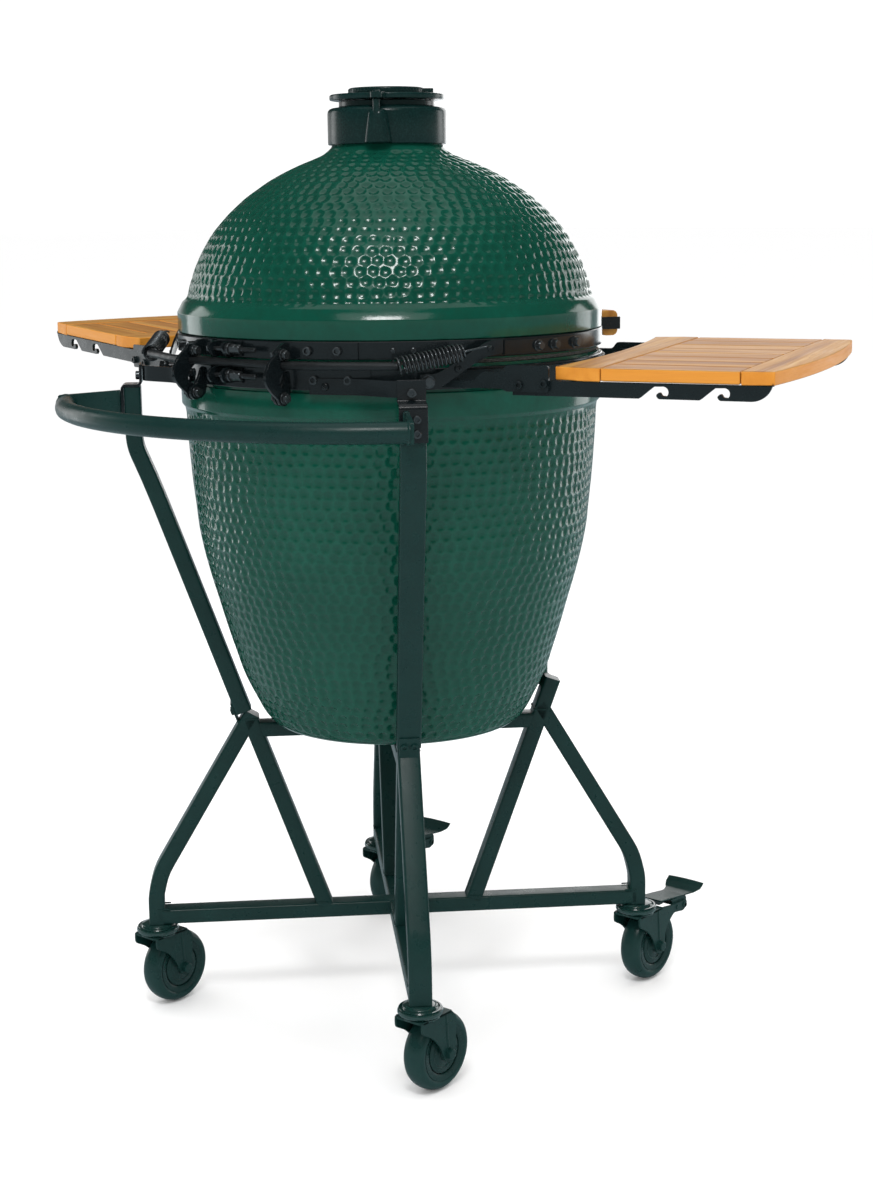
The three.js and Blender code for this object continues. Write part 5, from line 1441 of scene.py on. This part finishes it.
# screen with round holes
V, F = [], []
cell = 4.6
r_ = 211.0
cols_ = int(2 * 15.6 * math.pi / 180 * r_ / cell)
rows_ = int(43.0 / cell)
a_w = math.degrees(cell / r_)
for i in range(cols_):
    for j in range(rows_):
        ac = 270 - cols_ * a_w / 2 + (i + 0.5) * a_w
        zc = 453 - rows_ * cell / 2 + (j + 0.5) * cell
        b = len(V)
        for rr_ in (210.5, 211.5):
            for t in range(8):
                x_, y_ = [(1, 0), (1, 1), (0, 1), (-1, 1), (-1, 0), (-1, -1), (0, -1), (1, -1)][t]
                V.append(tuple(pol(rr_, ac + x_ * a_w / 2, zc + y_ * cell / 2)))
            for t in range(8):
                V.append(tuple(pol(rr_, ac + math.degrees(1.35 * math.cos(rad(45 * t)) / r_), zc + 1.35 * math.sin(rad(45 * t)))))
        for t in range(8):
            t1 = (t + 1) % 8
            F.append([b + t, b + t1, b + 8 + t1, b + 8 + t][::-1])
            F.append([b + 16 + t, b + 16 + t1, b + 24 + t1, b + 24 + t])
            F.append([b + 8 + t, b + 8 + t1, b + 24 + t1, b + 24 + t][::-1])
scr = [(np.array(V), F)]
ea = cols_ * a_w / 2
eh = rows_ * cell / 2
scr += [sector(210.5, 211.5, 270 - 16.9, 270 - ea, 429.8, 476.2), sector(210.5, 211.5, 270 + ea, 270 + 16.9, 429.8, 476.2),
        sector(210.5, 211.5, 270 - ea, 270 + ea, 429.8, 453 - eh), sector(210.5, 211.5, 270 - ea, 270 + ea, 453 + eh, 476.2)]
emit("draft_mesh", scr, "steel", "draft_screen", ["draft_screen"], sharp=40)
dd = [sector(213.1, 214.3, 270 - 16.9, 270 + 16.9, 429.8, 476.2), sector(213.8, 221.8, 270 - 15.4, 270 - 14.8, 442, 464, 0.3)]
dd.append(tube([pol(221.2, 270 - 15.1, 442.5), pol(221.2, 270 - 15.1, 463.5)], 0.8, 8))
emit("draft_cover", dd, "steel", "draft_door", ["draft_door"], bevel=0.3)

# --------------------------------------------------------- inside the ceramics
for n_ in ("firebox",):
    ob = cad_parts[n_]
    ob.data.materials.clear()
    ob.data.materials.append(M["clay"])
emit("ring_clay", lathe([(177.5, 612.5), (191.5, 612.5), (193.2, 614), (207.8, 680), (215.4, 750), (214.0, 751.8), (197.6, 751.8), (196.2, 750), (190, 680), (176.2, 614), (177.5, 612.5)], 160), "clay", "stand", ["fire_ring"])
gr = [lathe([(118, 481.2), (131.5, 481.2), (132.8, 482.4), (132.8, 485.8), (131.6, 486.9), (118, 486.9), (117, 485.8), (117, 482.4), (118, 481.2)], 96)]
for k in range(-7, 8):
    x = k * 15.4
    h = math.sqrt(max(0, 119.0 ** 2 - x * x))
    gr.append(prism(rrect(5.6, 2 * h, 1.5, 3), 481.4, 486.6, (x, 0, 0)))
for y in (-55, 0, 55):
    h = math.sqrt(118.5 ** 2 - y * y)
    gr.append(prism(rrect(2 * h, 6, 1.5, 3), 481.9, 485.6, (0, y, 0)))
emit("grate_iron", gr, "iron", "stand", ["fire_grate"], bevel=0.6)
cg = [(lambda t: sweep([pol(221.5, a, 757.2) for a in np.linspace(0, 360, 121)[:-1]], circ(3.4, 10), up=(0, 0, 1), closed=True))(0)]
for k in range(-17, 18):
    x = k * 12.2
    h = math.sqrt(220.5 ** 2 - x * x)
    if abs(x) < 214:
        cg.append(tube([(x, -h, 757.6), (x, h, 757.6)], 1.7, 8))
for y in (-120, 120):
    h = math.sqrt(220.5 ** 2 - y * y)
    cg.append(tube([(-h, y, 754.9), (h, y, 754.9)], 2.0, 8))
emit("grid_wires", cg, "steel", "stand", ["cooking_grid"], sharp=50)

# -------------------------------------------------------------- floor and light


def plane(name, size, z, mat):
    me = bpy.data.meshes.new(name)
    s = size
    me.from_pydata([(-s, -s, z), (s, -s, z), (s, s, z), (-s, s, z)], [], [[0, 1, 2, 3]])
    ob = bpy.data.objects.new(name, me)
    bpy.context.scene.collection.objects.link(ob)
    me.materials.append(mat)
    return ob


fm = bpy.data.materials.new("pale_floor")
fm.use_nodes = True
fb = fm.node_tree.nodes["Principled BSDF"]
fl = fm.node_tree.nodes.new("ShaderNodeLightPath")
fr = fm.node_tree.nodes.new("ShaderNodeMix")
fr.data_type = "RGBA"
fr.inputs[6].default_value = (0.93, 0.93, 0.93, 1)
fr.inputs[7].default_value = (0.28, 0.35, 0.38, 1)
fm.node_tree.links.new(fl.outputs["Is Glossy Ray"], fr.inputs[0])
fm.node_tree.links.new(fr.outputs[2], fb.inputs["Base Color"])
fb.inputs["Roughness"].default_value = 0.85
fb.inputs["Specular IOR Level"].default_value = 0.1
floor = plane("floor", 60.0, -0.0005, fm)

world = bpy.data.worlds.new("studio")
bpy.context.scene.world = world
world.use_nodes = True
wn = world.node_tree
bg = wn.nodes["Background"]
bg.inputs["Color"].default_value = (1.0, 1.0, 1.0, 1)
lp = wn.nodes.new("ShaderNodeLightPath")
mr = wn.nodes.new("ShaderNodeMapRange")
# what the glossy surfaces see: a pale sweep behind the grill, a dark room before it
tcw = wn.nodes.new("ShaderNodeTexCoord")
dot = wn.nodes.new("ShaderNodeVectorMath")
dot.operation = "DOT_PRODUCT"
dot.inputs[1].default_value = (0.6389, -0.7693, -0.35)
wn.links.new(tcw.outputs["Generated"], dot.inputs[0])
sweep_ = wn.nodes.new("ShaderNodeMapRange")
sweep_.interpolation_type = "SMOOTHSTEP"
sweep_.inputs["From Min"].default_value = -0.55
sweep_.inputs["From Max"].default_value = 0.75
sweep_.inputs["To Min"].default_value = 0.42
sweep_.inputs["To Max"].default_value = 0.72
wn.links.new(dot.outputs["Value"], sweep_.inputs["Value"])
xyz = wn.nodes.new("ShaderNodeSeparateXYZ")
wn.links.new(tcw.outputs["Generated"], xyz.inputs[0])
fall = wn.nodes.new("ShaderNodeMapRange")
fall.interpolation_type = "SMOOTHSTEP"
fall.inputs["From Min"].default_value = 0.03
fall.inputs["From Max"].default_value = 0.20
fall.inputs["To Min"].default_value = 1.0
fall.inputs["To Max"].default_value = 0.06
wn.links.new(xyz.outputs["Z"], fall.inputs["Value"])
mul = wn.nodes.new("ShaderNodeMath")
mul.operation = "MULTIPLY"
wn.links.new(sweep_.outputs["Result"], mul.inputs[0])
wn.links.new(fall.outputs["Result"], mul.inputs[1])
mr.inputs["To Min"].default_value = 1.12
wn.links.new(mul.outputs["Value"], mr.inputs["To Max"])
wn.links.new(lp.outputs["Is Glossy Ray"], mr.inputs["Value"])
wn.links.new(mr.outputs["Result"], bg.inputs["Strength"])
bpy.context.scene.view_settings.view_transform = "Standard"


def area(name, loc, target, sx, sy, power, col=(1, 1, 1)):
    ld = bpy.data.lights.new(name, "AREA")
    ld.shape = "RECTANGLE"
    ld.size, ld.size_y = sx, sy
    ld.energy = power
    ld.color = col
    ob = bpy.data.objects.new(name, ld)
    bpy.context.scene.collection.objects.link(ob)
    ob.location = loc
    d = Vector(target) - Vector(loc)
    ob.rotation_euler = d.to_track_quat("-Z", "Y").to_euler()
    return ob


# camera from behind and to one side, a little above the flange
D, H, BETA, YAW, PITCH_, ROLL, FPX = 2.6288, 1.0620, 40.9156, -1.2, -11.1112, -0.6691, 2037.75
cam_loc = A(AX, AY, 0) + A(-D * math.sin(rad(BETA)), D * math.cos(rad(BETA)), H)
a = rad(BETA + YAW)
p = rad(PITCH_)
fwd = A(math.sin(a) * math.cos(p), -math.cos(a) * math.cos(p), math.sin(p))
right = np.cross(fwd, A(0, 0, 1))
right /= np.linalg.norm(right)
upv = np.cross(right, fwd)
ro = rad(ROLL)
r2 = math.cos(ro) * right + math.sin(ro) * upv
u2 = -math.sin(ro) * right + math.cos(ro) * upv
cd = bpy.data.cameras.new("camera")
cam = bpy.data.objects.new("camera", cd)
bpy.context.scene.collection.objects.link(cam)
cd.sensor_fit = "AUTO"
cd.sensor_width = 36.0
cd.lens = FPX * 36.0 / 1200.0
mw = Matrix(((r2[0], u2[0], -fwd[0], cam_loc[0]), (r2[1], u2[1], -fwd[1], cam_loc[1]), (r2[2], u2[2], -fwd[2], cam_loc[2]), (0, 0, 0, 1)))
cam.matrix_world = mw
bpy.context.scene.camera = cam

E0 = A(AX, AY, 0)
KEY = E0 - fwd * 2.3 + right * -0.12 + A(0, 0, 2.75)
area("key", KEY, E0 + A(0, 0, 0.9), 0.85, 0.6, 34)
area("key_halo", KEY + A(0, 0, 0.05) - fwd * 0.1, E0 + A(0, 0, 0.9), 2.4, 1.8, 16)
area("side_right", E0 + right * 2.4 + fwd * 1.7 + A(0, 0, 1.1), E0 + A(0, 0, 0.7), 0.9, 2.6, 15)
area("side_left", E0 - right * 2.4 + fwd * 1.7 + A(0, 0, 1.2), E0 + A(0, 0, 0.7), 0.9, 2.6, 15)
area("top", E0 + A(0, 0, 3.6), E0, 2.6, 2.6, 14)
area("front", E0 + fwd * 2.6 + A(0, 0, 1.9) + right * 0.8, E0 + A(0, 0, 0.7), 1.6, 1.6, 16)
